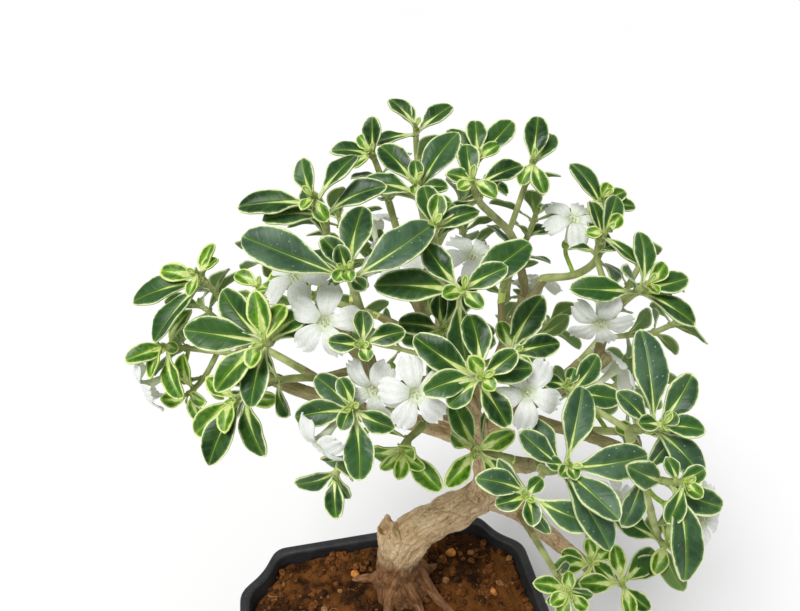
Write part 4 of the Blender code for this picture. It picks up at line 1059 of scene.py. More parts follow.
class Plan:
    """All that grows on the trunk. A thing is moved aside or left out where another is in its way."""

    def __init__(self):
        rng = random.Random(SEED)
        self.garden = Garden()
        self.limb_paths = {
            name: smooth_path([mm(p) for p in points], 2) for name, (points, _, _) in LIMBS.items()}
        self.shoots, self.branchlets, self.twigs = {}, {}, {}
        self.blooms, self.stalks, self.leaves = {}, {}, {}
        self.gather_shoots(rng)
        self.add_wood()
        for name, (throat, heading, rise, turn) in BLOOMS.items():
            self.place_corolla(name, mm(throat), direction(heading, rise), turn)
        for name in list(self.shoots):
            self.grow_twigs(name)
        self.place_back_blooms(rng)
        for name, bloom in self.blooms.items():
            self.grow_stalk(bloom)
        self.grow_leaves(rng)

    def gather_shoots(self, rng):
        """Shoots of each spray as (tip, axis, leaf rows). Two fill shoots that are near share a spray."""
        for name, rows in SPRAYS.items():
            self.shoots[name] = [
                (mm(tip), direction(heading, rise), leaves) for tip, heading, rise, leaves in rows]
        loose = fill_shoots(rng)
        number = 0
        while loose:
            first = loose.pop(0)
            near = sorted(loose, key=lambda shoot: (shoot[0] - first[0]).length)[:1]
            group = [first, *(shoot for shoot in near if (shoot[0] - first[0]).length < mm(FILL_REACH))]
            loose = [shoot for shoot in loose if shoot not in group]
            number += 1
            self.shoots[f"fill_{number:02d}"] = [
                (tip, axis, ("pairs", turn, length, 2)) for tip, axis, turn, length in group]

    def add_wood(self):
        """The trunk and limbs, as things for twigs and leaves to stay clear of."""
        trunk = smooth_path([mm(p) for p, _ in TRUNK_PATH], 2)
        widths = smooth_sizes([r for _, r in TRUNK_PATH], 2)
        self.garden.add(loft(tube_rings(trunk, [mm(w + 0.3) for w in widths], 8)), "wood")
        for name, path in self.limb_paths.items():
            radii = [r + mm(0.3) for r in limb_radii(name, path)]
            self.garden.add(loft(tube_rings(path, radii, 6)), "wood")

    def place_corolla(self, name, throat, face, turn):
        """A bloom, turned about its face until it is clear."""
        for extra in range(0, 72, 12):
            bloom = Bloom(throat, face, turn + extra)
            shapes = [bloom.tube(), *(bloom.lobe(i) for i in range(LOBES))]
            if not any(self.garden.meets(shape) for shape in shapes):
                for shape in shapes:
                    self.garden.add(shape, ("bloom", name))
                self.blooms[name] = bloom
                return

    def place_back_blooms(self, rng):
        """A few blooms between the fill shoots."""
        fills = [shoots[0] for name, shoots in self.shoots.items() if name.startswith("fill")]
        for number, (tip, axis, _) in enumerate(fills[1:2 * BACK_BLOOMS:2]):
            side, top = across(axis)
            throat = tip + side * mm(9) - axis * mm(2) + top * mm(2)
            self.place_corolla(f"back_{number + 1}", throat, axis, rng.uniform(0, 72))

    def clear_path(self, ends, radii, sides, ignore):
        """A curve between the ends, bent aside where something is in its way, or None if none is clear."""
        start, leave, end, arrive = ends
        straight = (end - start).normalized()
        for bulge in TWIG_BULGES:
            for way in range(0, 360, 60) if bulge else (0,):
                aside = around(straight, math.radians(way)) * mm(bulge)
                path = bend_between(start, leave, end, arrive, len(radii) - 1)
                path = [p + aside * math.sin(math.pi * i / (len(path) - 1)) for i, p in enumerate(path)]
                wide = [r + mm(TWIG_CLEARANCE) for r in radii]
                guard = loft(tube_rings(path, wide, sides, 0, leave, arrive))
                if not self.garden.meets(guard, ignore):
                    return path
        return None

    def grow_twigs(self, name):
        """The branchlet in the wood, the spray's leading twig, and a side twig for each further shoot."""
        shoots = self.shoots[name]
        middle = sum((tip for tip, _, _ in shoots), Vector()) / len(shoots)
        wood = [point for path in self.limb_paths.values() for point in path[2:]]
        wood += smooth_path([mm(p) for p, _ in TRUNK_PATH[8:]], 3)
        wood = [point for point in wood if (point - middle).length > mm(SHORTEST_TWIG)]
        wood.sort(key=lambda point: (point - middle).length + 0.35 * abs(point.z - middle.z + mm(14)))
        for start in wood[:WOOD_TRIES]:
            leave = (middle - start).normalized()
            reach = max(BRANCHLET_SHARE * (middle - start).length, mm(5))
            foot = start + leave * reach
            bare = loft(tube_rings([start, foot], [mm(TWIG_RADIUS + 0.5)] * 2, 5))
            if self.garden.meets(bare, {"wood"}):
                continue
            tip, axis, _ = shoots[0]
            radii = [mm(TWIG_RADIUS + (SHOOT_RADIUS - TWIG_RADIUS) * i / 4) for i in range(5)]
            lead = self.clear_path((foot + leave * GAP, leave, tip, axis), radii, TWIG_SIDES, set())
            if lead:
                break
        else:
            del self.shoots[name]
            return
        self.branchlets[name] = (start, foot)
        self.garden.add(bare, ("branchlet", name))
        self.twigs[name] = []
        self.add_twig(name, 0, lead, radii, leave)
        grown = shoots[:1]
        for shoot in shoots[1:]:
            tip, axis, rows = shoot
            root = lead[min(len(grown), 2)]
            radii = [mm(SHOOT_RADIUS if rows else PRUNED_RADIUS)] * 4
            path = self.clear_path((root, (tip - root).normalized(), tip, axis), radii, TWIG_SIDES,
                                   {("twig", name, 0)})
            if path:
                self.add_twig(name, len(grown), path, radii, None)
                grown.append(shoot)
        self.shoots[name] = grown

    def add_twig(self, name, index, path, radii, first):
        """Keeps a twig. first is the way that it leaves a branchlet, or None on a side twig."""
        self.twigs[name].append((path, radii, first))
        self.garden.add(loft(tube_rings(path, radii, TWIG_SIDES, 0, first)), ("twig", name, index))

    def grow_stalk(self, bloom):
        """The calyx under a bloom and its stalk, on the nearest twig from which the way is clear."""
        neck = bloom.foot - bloom.face * mm(CALYX_LENGTH)
        places = [(name, index, place) for name, twigs in self.twigs.items()
                  for index, (path, _, _) in enumerate(twigs) for place in path[1:-1]]
        places.sort(key=lambda row: (row[2] - neck).length)
        cup = [neck, neck + bloom.face * mm(CALYX_LENGTH * 0.5), bloom.foot - bloom.face * GAP]
        for name, index, root in places[:STALK_TRIES]:
            own = {("twig", name, i) for i in range(len(self.twigs[name]))}
            ends = (root, (neck - root).normalized(), neck + bloom.face * mm(0.3), bloom.face)
            path = self.clear_path(ends, [mm(STALK_RADIUS)] * 4, 4, own)
            if path:
                self.stalks.setdefault(name, []).append((path, cup))
                for course, radius in ((path, STALK_RADIUS), (cup, CALYX_RADIUS)):
                    shape = loft(tube_rings(course, [mm(radius)] * len(course), 4))
                    self.garden.add(shape, ("stalk", name))
                return

    def grow_leaves(self, rng):
        """Each shoot's rosette first, in the order of the tables, then an older pair lower on each twig."""
        for name, shoots in self.shoots.items():
            self.leaves[name] = []
            for index, (_, axis, rows) in enumerate(shoots):
                if "pairs" in rows:
                    rows = rosette(*rows[1:], rng)
                path = self.twigs[name][index][0]
                own = {("twig", name, index), ("leaf", name, index)}
                for rank, row in enumerate(rows):
                    root = down_path(path, mm(NODE_SPACING * ((len(rows) - 1 - rank) // 2) + 0.3))
                    self.place_leaf(name, index, root, axis, row, own)
        for name, shoots in self.shoots.items():
            for index, (_, _, rows) in enumerate(shoots):
                if not rows:
                    continue
                longest = rows[2] if "pairs" in rows else max(row[2] for row in rows)
                path = self.twigs[name][index][0]
                turn = rng.uniform(0, 180)
                own = {("twig", name, i) for i in range(len(shoots))}
                for level in (2, 3) if len(shoots) == 1 or name.startswith("fill") else (2,):
                    along = (path[-level] - path[-level - 1]).normalized()
                    for half in (0, 180):
                        row = (turn + 90 * level + half, rng.uniform(60, 80),
                               min(longest * 0.9, LOW_LEAF) * rng.uniform(0.75, 1.0))
                        self.place_leaf(name, index, path[-level], along, row, own)

    def place_leaf(self, name, index, root, axis, row, ignore):
        """Adds a leaf, bent or turned aside where something is in its way, or leaves it out."""
        turn, spread, length = row
        for d_turn, d_spread, scale in LEAF_TRIES:
            leaf = Leaf(root, axis, turn + d_turn, spread + d_spread, length * scale)
            rings, tip = leaf.rings((0.2, 0.45, 0.75), mm(LEAF_KEEL + LEAF_CLEARANCE), mm(LEAF_CLEARANCE))
            guard = loft(rings, tip + leaf.chord * mm(LEAF_CLEARANCE))
            if not self.garden.meets(guard, ignore):
                self.garden.add(leaf.solid(), ("leaf", name, index))
                self.leaves[name].append(leaf)
                return


def down_path(path, distance):
    """The point at this distance from the end of a path, measured along it."""
    for i in range(len(path) - 1, 0, -1):
        step = path[i - 1] - path[i]
        if distance < step.length:
            return path[i] + step.normalized() * distance
        distance -= step.length
    return path[0].copy()


plan = Plan()


# The trunk is one grown piece of wood with lumpy tan bark. Red-brown roots spread from its foot, a jagged
# dead stump stands where the old leader broke off, and the limbs run out into the bare branchlets that
# carry the sprays.

STUMP_PATH = [((4.4, 17, 58), 6.0), ((1.8, 17.4, 68), 5.4), ((-0.9, 18, 77), 3.2)]

ROOTS = [  # heading of each surface root in degrees, its reach and its thickness
    (-118, 22, 2.1), (-74, 18, 1.9), (-35, 23, 2.2), (20, 19, 1.9), (100, 17, 1.8), (165, 21, 2.0),
]
COURSE_STEPS = 8  # points between neighbours of a path
BARK_GRAIN = 0.55  # size of the mesh that the bark is shaped on
RED_ROOTS_BELOW = 66.0
THICK_STEM = 7.0  # radius from which the bark has its full relief
STUMP_TEETH = [  # where each splinter stands, in radians round the stump, and its height
    (0.2, 5.0), (1.5, 1.2), (2.4, 3.2), (3.6, 0.4), (4.7, 2.4), (5.6, 0.8),
]


def wavering(rings, amount, seed):
    """The rings with each point pushed in or out, so that a stem isn't a turned rod."""
    for i, ring in enumerate(rings):
        heart = sum(ring, Vector()) / len(ring)
        for k, place in enumerate(ring):
            push = noise.noise(place / mm(5.5) + Vector((seed, 0, 0)))
            ring[k] = heart + (place - heart) * (1 + amount * push)
    return rings


def wood_courses(branchlets):
    """The middle line of every stem in the wood, with its radius at each point, densely."""
    courses = {}
    for name, rows in (("trunk", TRUNK_PATH), ("stump", STUMP_PATH)):
        path = smooth_path([mm(p) for p, _ in rows], COURSE_STEPS)
        courses[name] = (path, [mm(w) for w in smooth_sizes([r for _, r in rows], COURSE_STEPS)])
    for name in LIMBS:
        path = smooth_path(smooth_path([mm(p) for p in LIMBS[name][0]], 2), 4)
        courses[name] = (path, limb_radii(name, path))
    for number, (heading, reach, thick) in enumerate(ROOTS):
        way = direction(heading, 0)
        start = mm(*TRUNK_FOOT, 55)
        course = ((4, 0), (9, -7), (reach * 0.62, -11), (reach, -16.5))
        points = [start + way * mm(away) + mm(0, 0, drop) for away, drop in course]
        points = smooth_path(points, COURSE_STEPS)
        bend = across(way)[0]
        for i, point in enumerate(points):
            points[i] = point + bend * mm(1.5) * math.sin(i / 6 + number * 2)
        radii = smooth_sizes([thick * share for share in (1.1, 1, 0.85, 0.5)], COURSE_STEPS)
        courses[f"root_{number}"] = (points, [mm(r) for r in radii])
    for name, (start, foot) in branchlets.items():
        path = [start.lerp(foot, i / 10) for i in range(11)]
        courses[f"branchlet_{name}"] = (path, [mm(TWIG_RADIUS + 0.2 - 0.2 * i / 10) for i in range(11)])
    return courses


def stump_rings(path, radii):
    """The dead stump: splintered at the top and rotted hollow inside."""
    rings = tube_rings(path, radii, 28)
    top = rings.pop()
    heart = sum(top, Vector()) / len(top)
    splintered = []
    for k, place in enumerate(top):
        a = 2 * math.pi * k / len(top)
        spike = sum(h * max(0, math.cos(a - at)) ** 6 for at, h in STUMP_TEETH)
        rough = 0.8 * noise.noise(Vector((a * 4, 2, 0)))
        splintered.append(place + Vector((0, 0, mm(spike - 1.2 + rough))))
    rings.append(splintered)
    for share, drop in ((0.74, 0.6), (0.5, 2.2), (0.3, 4.2)):
        rings.append([heart.lerp(p, share) - Vector((0, 0, mm(drop))) for p in splintered])
    return rings


def voxel_wood(courses):
    """All the stems as one skin of even quads."""
    bm = bmesh.new()
    for name, (path, radii) in courses.items():
        sides = 24 if max(radii) > mm(4) else 14
        if name == "stump":
            rings = stump_rings(path, radii)
        else:
            waver = 0.16 if name == "trunk" else 0.12
            rings = wavering(tube_rings(path, radii, sides), waver, len(name))
        add_shape(bm, loft(rings))
    target = bpy.data.objects.new("target", mesh_of(bm))
    bpy.context.scene.collection.objects.link(target)
    remesh = target.modifiers.new("Skin", "REMESH")
    remesh.mode = "VOXEL"
    remesh.voxel_size = mm(BARK_GRAIN)
    bpy.context.view_layer.update()
    mesh = bpy.data.meshes.new_from_object(target.evaluated_get(bpy.context.evaluated_depsgraph_get()))
    bpy.data.objects.remove(target)
    return mesh


def bark_up(mesh, courses):
    """Smooths the skin, raises lumps and furrows on it along the stems, and notes where each point lies."""
    samples = []
    for path, radii in courses.values():
        reach = 0.0
        side = across((path[1] - path[0]).normalized())[0]
        for i, point in enumerate(path):
            along = (path[min(i + 1, len(path) - 1)] - path[max(i - 1, 0)]).normalized()
            side = (side - along * side.dot(along)).normalized()
            reach += (point - path[i - 1]).length if i else 0.0
            samples.append((point, side, side.cross(along), along, reach, radii[i]))
    finder = KDTree(len(samples))
    for i, sample in enumerate(samples):
        finder.insert(sample[0], i)
    finder.balance()
    bm = bmesh.new()
    bm.from_mesh(mesh)
    for _ in range(2):
        bmesh.ops.smooth_vert(bm, verts=bm.verts, factor=0.5, use_axis_x=True, use_axis_y=True,
                              use_axis_z=True)
    bm.normal_update()
    grain = bm.verts.layers.float_vector.new("grain")
    girth = bm.verts.layers.float.new("girth")
    pushes = []
    for vert in bm.verts:
        best = min((samples[i] for _, i, _ in finder.find_n(vert.co, 8)),
                   key=lambda sample: (vert.co - sample[0]).length - sample[5])
        point, side, up, along, reach, radius = best
        offset = vert.co - point
        reach += offset.dot(along)
        place = Vector((offset.dot(side), offset.dot(up), reach)) / MM
        vert[grain] = (place.x, place.y, place.z * 0.28)
        vert[girth] = radius / MM
        size = min(radius / mm(THICK_STEM), 1.0)
        furrow = noise.fractal(Vector((place.x / 2.1, place.y / 2.1, place.z / 8)), 0.8, 2.0, 3)
        lump = noise.noise(place / 6.5)
        flake = abs(noise.noise(Vector((place.x / 3.2, place.y / 3.2, place.z / 5)) + Vector((9, 9, 9))))
        crack = 1 - flake * 4 if flake < 0.25 else 0
        height = (0.10 + 0.38 * size) * furrow + (0.12 + 0.75 * size) * lump - 0.35 * size * crack
        pushes.append(vert.normal * mm(height))
    for vert, push in zip(bm.verts, pushes):
        vert.co += push
    bm.to_mesh(mesh)
    bm.free()
    return mesh


def bark_finish():
    """Old bark: tan scales over brown furrows, greener on thin limbs, and red-brown on the roots."""
    bark = Finish("tan_bark")
    grain = bark.read("grain", "Vector")
    girth = bark.read("girth")
    height = bark.split(bark.place)[2]
    streak = bark.noise(0.75, 6, 0.65, grain)
    fine = bark.noise(2.8, 5, 0.7, grain)
    scale = bark.cells(0.30, grain, "DISTANCE_TO_EDGE")
    broad = bark.noise(95, 3, 0.55)
    fleck = bark.noise(1500, 3, 0.7)
    tan = bark.blend(streak, (0.470, 0.310, 0.155), (0.86, 0.640, 0.370), 0.32, 0.68)
    tan = bark.mix(bark.step(broad, 0.42, 0.68, 0, 0.6), tan, (0.90, 0.71, 0.45))
    tan = bark.mix(bark.step(fine, 0.52, 0.34, 0, 0.65), tan, (0.290, 0.175, 0.086))
    crack = bark.times(bark.step(scale, 0.07, 0.0), bark.step(fine, 0.6, 0.4, 0, 0.6))
    tan = bark.mix(crack, tan, (0.125, 0.070, 0.036))
    tan = bark.mix(bark.step(fleck, 0.60, 0.70, 0, 0.45), tan, (0.62, 0.55, 0.43))
    young = bark.blend(streak, (0.235, 0.205, 0.085), (0.44, 0.40, 0.20), 0.3, 0.7)
    colour = bark.blend(girth, tan, young, 3.0, 1.5)
    red = bark.blend(streak, (0.115, 0.048, 0.018), (0.37, 0.190, 0.084), 0.3, 0.7)
    low = bark.step(bark.add(height, bark.times(broad, 0.008)), RED_ROOTS_BELOW * MM + 0.006,
                    RED_ROOTS_BELOW * MM - 0.003)
    colour = bark.mix(low, colour, red)
    relief = bark.add(bark.times(fine, 0.5), bark.add(bark.times(streak, 0.35), bark.times(fleck, 0.15)))
    relief = bark.add(relief, bark.step(scale, 0.0, 0.12, 0, 0.3))
    return bark.end(Base_Color=colour, Roughness=bark.ramp(fine, 0.3, 0.7, 0.62, 0.92),
                    Specular_IOR_Level=0.2, Normal=bark.bump(relief, 0.5, 0.9))


courses = wood_courses(plan.branchlets)
add_mesh("trunk_wood", bark_up(voxel_wood(courses), courses), [bark_finish()], ["trunk"])


# Each leafy spray is one green twig with its side twigs and smooth leaves in crosswise pairs. It grows from
# a bare branchlet's end. A blade is green with a thin cream margin and a yellow wedge along the midrib,
# which is broad and ragged on young leaves.

BLADE_THICK = 0.34
BOX_INSET = 0.4  # how far a blade's upper face stays inside the box of the solids
LEAF_LIMITS = [Vector(corner) - HOME for corner in cad_box]
PETIOLE_HALF = 0.5
LARGE_GRID = (10, 20)  # cells across and along a large blade
SMALL_GRID = (6, 12)
TINY_LEAF = 6.0
TINY_GRID = (4, 8)
BLADE_CUP = 0.085  # rise between midrib and margin, as a share of half the width
WAVE = 0.045  # rise and fall of the margin, as a share of the width
EDGE_RIPPLE = 0.014
BUD_LEAF = 3.4
BUD_LEAF_WIDTH = 1.5
BUD_AGE = 0.05
TWIG_STEPS = 5  # points between neighbours of a twig's path
UPPER, UNDERSIDE, TWIG, BUD, CUT_WOOD = range(5)  # places of the finishes on a spray
# Sprays whose leaves are older, with more painted grey sheen, than the rest, or younger and more yellow
AGE_AND_SHEEN_SHIFT = {
    "right_star": 0.30, "right_tall": 0.28, "front_left": 0.14, "under": 0.22, "right_hang": 0.12,
    "mid": 0.06, "top_left": 0.12, "left_star": -0.14, "far_left": -0.20, "left_hang": -0.20,
    "low_mid": -0.18, "low_centre": -0.12, "low_right_high": -0.08, "low_right_near": -0.14,
    "low_right_front": -0.14,
}


def leaf_finish(name, underside=False):
    """A blade read from its own measures: along it, across it and in from its margin, in millimetres."""
    blade = Finish(name)
    along, sideways, inward = blade.split(blade.read("blade", "Vector"))
    tone, age, length = blade.split(blade.read("trait", "Vector"))
    off = blade.math("ABSOLUTE", sideways)
    share = blade.math("DIVIDE", along, length)
    broad = blade.noise(170, 3, 0.55)
    ragged = blade.noise(620, 4, 0.6)
    fine = blade.noise(2600, 2, 0.6)
    young = blade.step(age, 0.34, 0.16)
    # Older leaves take the painted grey sheen below, and also a thinner midrib wedge, more dust and a
    # rougher face.
    old_and_sheen = blade.step(age, 0.56, 0.80)

    green = blade.blend(tone, (0.007, 0.035, 0.006), (0.030, 0.098, 0.020), 0.1, 0.9)
    green = blade.mix(blade.step(broad, 0.38, 0.66, 0, 0.55), green, (0.056, 0.146, 0.022))
    # The grey-green of older leaves is painted sheen: the bluish grey of light glancing off a glossy blade,
    # laid into its colour.
    painted_sheen_grey = blade.blend(broad, (0.038, 0.092, 0.046), (0.088, 0.168, 0.086))
    green = blade.mix(blade.times(old_and_sheen, 0.95), green, painted_sheen_grey)
    fresh = blade.blend(ragged, (0.045, 0.140, 0.004), (0.120, 0.285, 0.010), 0.4, 0.65)
    green = blade.mix(young, green, fresh)

    side_vein = blade.math("SINE", blade.times(blade.add(along, blade.times(off, -0.75)), 2.6))
    side_vein = blade.step(side_vein, 0.2, 1.0)
    side_vein = blade.times(side_vein, blade.step(off, 0.2, 0.9))
    green = blade.mix(blade.times(side_vein, 0.10), green, (0.12, 0.24, 0.07))

    foot_wedge = blade.ramp(share, 0.0, 0.66, 0.86, 0.0)
    wedge = blade.math("MAXIMUM", foot_wedge, blade.ramp(share, 0.5, 0.88, 0.07, 0.0))
    vein_half = blade.times(wedge, blade.ramp(broad, 0.3, 0.7, 0.6, 1.25))
    vein_half = blade.times(vein_half, blade.ramp(old_and_sheen, 0, 1, 1.0, 0.5))
    flame = blade.times(young, blade.ramp(share, 0.05, 0.85, 0.85, 0.0))
    wide = blade.add(vein_half, blade.times(flame, blade.ramp(ragged, 0.3, 0.7, 0.5, 1.7)))
    vein = blade.step(blade.math("SUBTRACT", off, wide), 0.10, -0.10)
    lime = blade.step(blade.math("SUBTRACT", off, blade.add(wide, 0.3)), 0.45, -0.1)
    lime = blade.times(lime, blade.add(0.22, blade.times(young, 0.6)))
    colour = blade.mix(lime, green, (0.20, 0.42, 0.01))
    yellow = blade.blend(ragged, (0.56, 0.70, 0.16), (0.80, 0.86, 0.42))
    yellow = blade.mix(blade.step(share, 0.35, 0.8, 0, 0.6), yellow, (0.44, 0.58, 0.24))
    colour = blade.mix(vein, colour, yellow)

    edge = blade.ramp(broad, 0.32, 0.68, 0.12, 0.50)
    edge = blade.add(edge, blade.ramp(ragged, 0.3, 0.7, -0.16, 0.16))
    edge = blade.add(edge, blade.times(young, 0.20))
    edge = blade.times(edge, blade.ramp(length, 3.0, 11.0, 0.42, 1.0))
    margin = blade.step(blade.math("SUBTRACT", inward, edge), 0.07, -0.07)
    grey_band = blade.step(blade.math("SUBTRACT", inward, blade.add(edge, 0.28)), 0.22, -0.05)
    colour = blade.mix(blade.times(grey_band, 0.38), colour, (0.20, 0.36, 0.10))
    cream = blade.mix(young, (0.74, 0.80, 0.44), (0.70, 0.80, 0.22))
    colour = blade.mix(margin, colour, cream)

    dust = blade.cells(880)
    dust = blade.times(blade.step(dust, 0.19, 0.10), blade.step(ragged, 0.44, 0.6))
    dust = blade.times(dust, blade.add(0.05, blade.times(old_and_sheen, 0.5)))
    colour = blade.mix(dust, colour, (0.62, 0.68, 0.58))
    groove = blade.step(off, 0.0, 0.55)
    relief = blade.add(blade.times(fine, 0.12), blade.times(groove, 0.5))
    relief = blade.add(relief, blade.times(side_vein, -0.1))
    rough = blade.add(blade.ramp(broad, 0.3, 0.7, 0.27, 0.40), blade.times(old_and_sheen, 0.06))
    if underside:
        colour = blade.mix(0.55, colour, (0.22, 0.34, 0.10))
        rough = blade.ramp(broad, 0.3, 0.7, 0.55, 0.7)
    return blade.end(Base_Color=colour, Roughness=rough, Specular_IOR_Level=0.27,
                     Normal=blade.bump(relief, 0.28, 0.8))


def twig_finish():
    """Young bark: tan green with pale flecks, brown where it is older."""
    bark = Finish("green_twig")
    fine = bark.noise(900, 4, 0.65)
    broad = bark.noise(210, 3, 0.5)
    height = bark.split(bark.place)[2]
    green = bark.blend(broad, (0.26, 0.32, 0.09), (0.52, 0.57, 0.22))
    brown = bark.blend(fine, (0.24, 0.19, 0.085), (0.48, 0.40, 0.22))
    share = bark.step(bark.add(broad, bark.times(height, 0.6)), 0.50, 0.38)
    colour = bark.mix(share, green, brown)
    colour = bark.mix(bark.step(fine, 0.62, 0.72, 0, 0.6), colour, (0.66, 0.66, 0.44))
    return bark.end(Base_Color=colour, Roughness=bark.ramp(fine, 0.3, 0.7, 0.5, 0.72),
                    Normal=bark.bump(fine, 0.14, 0.8))


def bud_finish():
    """Bright lime of unopened buds, and of a bloom's calyx and stalk."""
    bud = Finish("lime_bud")
    fine = bud.noise(900, 3, 0.6)
    colour = bud.blend(fine, (0.22, 0.38, 0.03), (0.46, 0.62, 0.09))
    return bud.end(Base_Color=colour, Roughness=bud.ramp(fine, 0.3, 0.7, 0.4, 0.6),
                   Normal=bud.bump(fine, 0.1, 0.6))


def cut_wood_finish():
    """The pale wood of a pruned end."""
    wood = Finish("cut_wood")
    rings = wood.noise(1400, 3, 0.6)
    colour = wood.blend(rings, (0.55, 0.50, 0.30), (0.78, 0.74, 0.52))
    return wood.end(Base_Color=colour, Roughness=wood.ramp(rings, 0.3, 0.7, 0.6, 0.8),
                    Normal=wood.bump(rings, 0.1, 0.6))


class Blade:
    """One finished leaf: how its outline and its surface depart from the plan's plain leaf."""

    def __init__(self, leaf, age, rng):
        self.leaf, self.age = leaf, age
        self.length = leaf.length / MM
        self.tone = rng.random()
        self.shape = rng.uniform(1.22, 1.50)
        self.blunt = rng.uniform(0.52, 0.68)
        self.taper = 1.15 + 0.3 * min(self.length / 20, 1.0)
        self.waves = rng.uniform(1.5, 2.6)
        self.phase = rng.uniform(0, 6.3)
        self.curl = rng.uniform(-0.05, 0.10)
        self.twist = rng.uniform(-0.22, 0.22)
        self.bend = rng.uniform(-0.05, 0.05)

    def half(self, s):
        """Half the width in millimetres at a share of the length, with the stalk at its foot."""
        swell = max(math.sin(math.pi * min(s, 1.0) ** self.shape), 0.0)
        peak = 0.5 ** (1 / self.shape)
        half = self.leaf.width / MM / 2 * swell ** (self.taper if s < peak else self.blunt)
        stalk = PETIOLE_HALF * min(1.0, (1 - s) * 8) * (0.6 + 0.4 * min(self.length / 12, 1.2))
        return max(half, stalk)

    def point(self, s, u):
        """The surface at a share of the length, s, and half width, u, and what the material reads."""
        middle, face = self.leaf.midrib(s)
        side = face.cross(self.leaf.chord).normalized()
        turn = self.twist * (s - 0.3)
        side, face = side + face * turn, face - side * turn
        half = self.half(s)
        size = min(half / 3.0, 1.0)
        rise = half * (LEAF_FOLD * abs(u) + BLADE_CUP * math.sin(math.pi * abs(u)) * size)
        rise += half * self.curl * u * u
        wave = math.sin(s * self.waves * 6.283 + self.phase + (1.7 if u > 0 else 0))
        rise += self.leaf.width / MM * WAVE * wave * u * u * math.sin(math.pi * s)
        edge = 1 + EDGE_RIPPLE * math.sin(s * 19 + self.phase * 3 + (2 if u > 0 else 0)) * abs(u) ** 3
        bend = self.length * self.bend * math.sin(math.pi * s)
        place = middle + side * mm(half * u * edge + bend) + face * mm(rise)
        place = Vector(min(max(at, low + mm(BOX_INSET)), high - mm(BOX_INSET))
                       for at, low, high in zip(place, *LEAF_LIMITS))
        inward = min(half * (1 - abs(u)), (1 - s) * self.length * 0.75)
        return place, (s * self.length, half * u, inward)


def add_blade(bm, blade):
    """Adds a blade's upper face: a grid drawn into its shape. Gives the faces."""
    if blade.length > LARGE_LEAF:
        grid = LARGE_GRID
    else:
        grid = SMALL_GRID if blade.length > TINY_LEAF else TINY_GRID
    made = bmesh.ops.create_grid(bm, x_segments=grid[0], y_segments=grid[1], size=1.0)["verts"]
    blade_layer = bm.verts.layers.float_vector["blade"]
    trait_layer = bm.verts.layers.float_vector["trait"]
    faces = list(dict.fromkeys(face for vert in made for face in vert.link_faces))
    for vert in made:
        u, v = -vert.co.x, (vert.co.y + 1) / 2
        s = v - 0.05 * math.sin(2 * math.pi * v) / 6.283 * 2
        vert.co, measures = blade.point(s, u)
        vert[blade_layer] = measures
        vert[trait_layer] = (blade.tone, blade.age, blade.length)
    return faces


def add_sleeve(bm, rings, finish, **ends):
    """Adds a closed tube through the rings to the bmesh, all of one finish."""
    start = len(bm.faces)
    add_shape(bm, loft(rings, **ends))
    bm.faces.ensure_lookup_table()
    for face in bm.faces[start:]:
        face.material_index = finish


def leaf_ages(name):
    """How old each planned leaf of a spray is, from 0, unfolding, to 1, old, with the painted grey sheen on
    its blade.
    """
    ages = []
    shift = AGE_AND_SHEEN_SHIFT.get(name, 0.0)
    for leaf in plan.leaves[name]:
        tips = [tip for tip, _, _ in plan.shoots[name]]
        away = min((leaf.root - tip).length for tip in tips) / MM
        size = leaf.length / MM
        age = 0.22 + 0.017 * (size - 8) + 0.036 * away + shift * min(size / 10, 1)
        ages.append(min(max(age, 0.0), 1.0))
    return ages


def terminal_bud(bm, tip, axis, rng):
    """The closed bud at the end of a shoot, with two tiny leaves that stand up beside it."""
    out = around(axis, rng.uniform(0, 3.14))
    path = [tip - axis * mm(0.6), tip + axis * mm(0.2), tip + axis * mm(0.9), tip + axis * mm(1.5)]
    add_sleeve(bm, tube_rings(path, [mm(0.55), mm(0.5), mm(0.36), mm(0.1)], 8), BUD)
    blades = []
    for way in (1, -1):
        leaf = Leaf(tip, axis, 0, 30, BUD_LEAF * rng.uniform(0.8, 1.2))
        leaf.chord = (axis + out * way * 0.62).normalized()
        leaf.up = (axis - leaf.chord * axis.dot(leaf.chord)).normalized()
        leaf.root = tip + out * way * mm(0.1)
        leaf.width = mm(BUD_LEAF_WIDTH)
        blades.append(Blade(leaf, BUD_AGE, rng))
    return blades


def add_twigs(bm, name):
    """The twigs of a spray, with a pale cut end on a pruned one."""
    for (path, radii, first), (_, _, rows) in zip(plan.twigs[name], plan.shoots[name]):
        if first:
            path = [path[0] - first * mm(1.0), *path]
            radii = [radii[0], *radii]
        course = smooth_path(path, TWIG_STEPS)
        girths = smooth_sizes(radii, TWIG_STEPS)
        if not rows:
            course[-1] = course[-1] + (course[-1] - course[-2]).normalized() * mm(0.3)
        girths = [g * (0.92 + 0.1 * noise.noise(p / mm(2.2))) for g, p in zip(girths, course)]
        add_sleeve(bm, tube_rings(course, girths, 10), TWIG)
        if not rows:
            end = (course[-1] - course[-2]).normalized()
            cap = [course[-1] - end * mm(0.2), course[-1] + end * mm(0.12)]
            add_sleeve(bm, tube_rings(cap, [girths[-1] * 0.86] * 2, 12), CUT_WOOD)


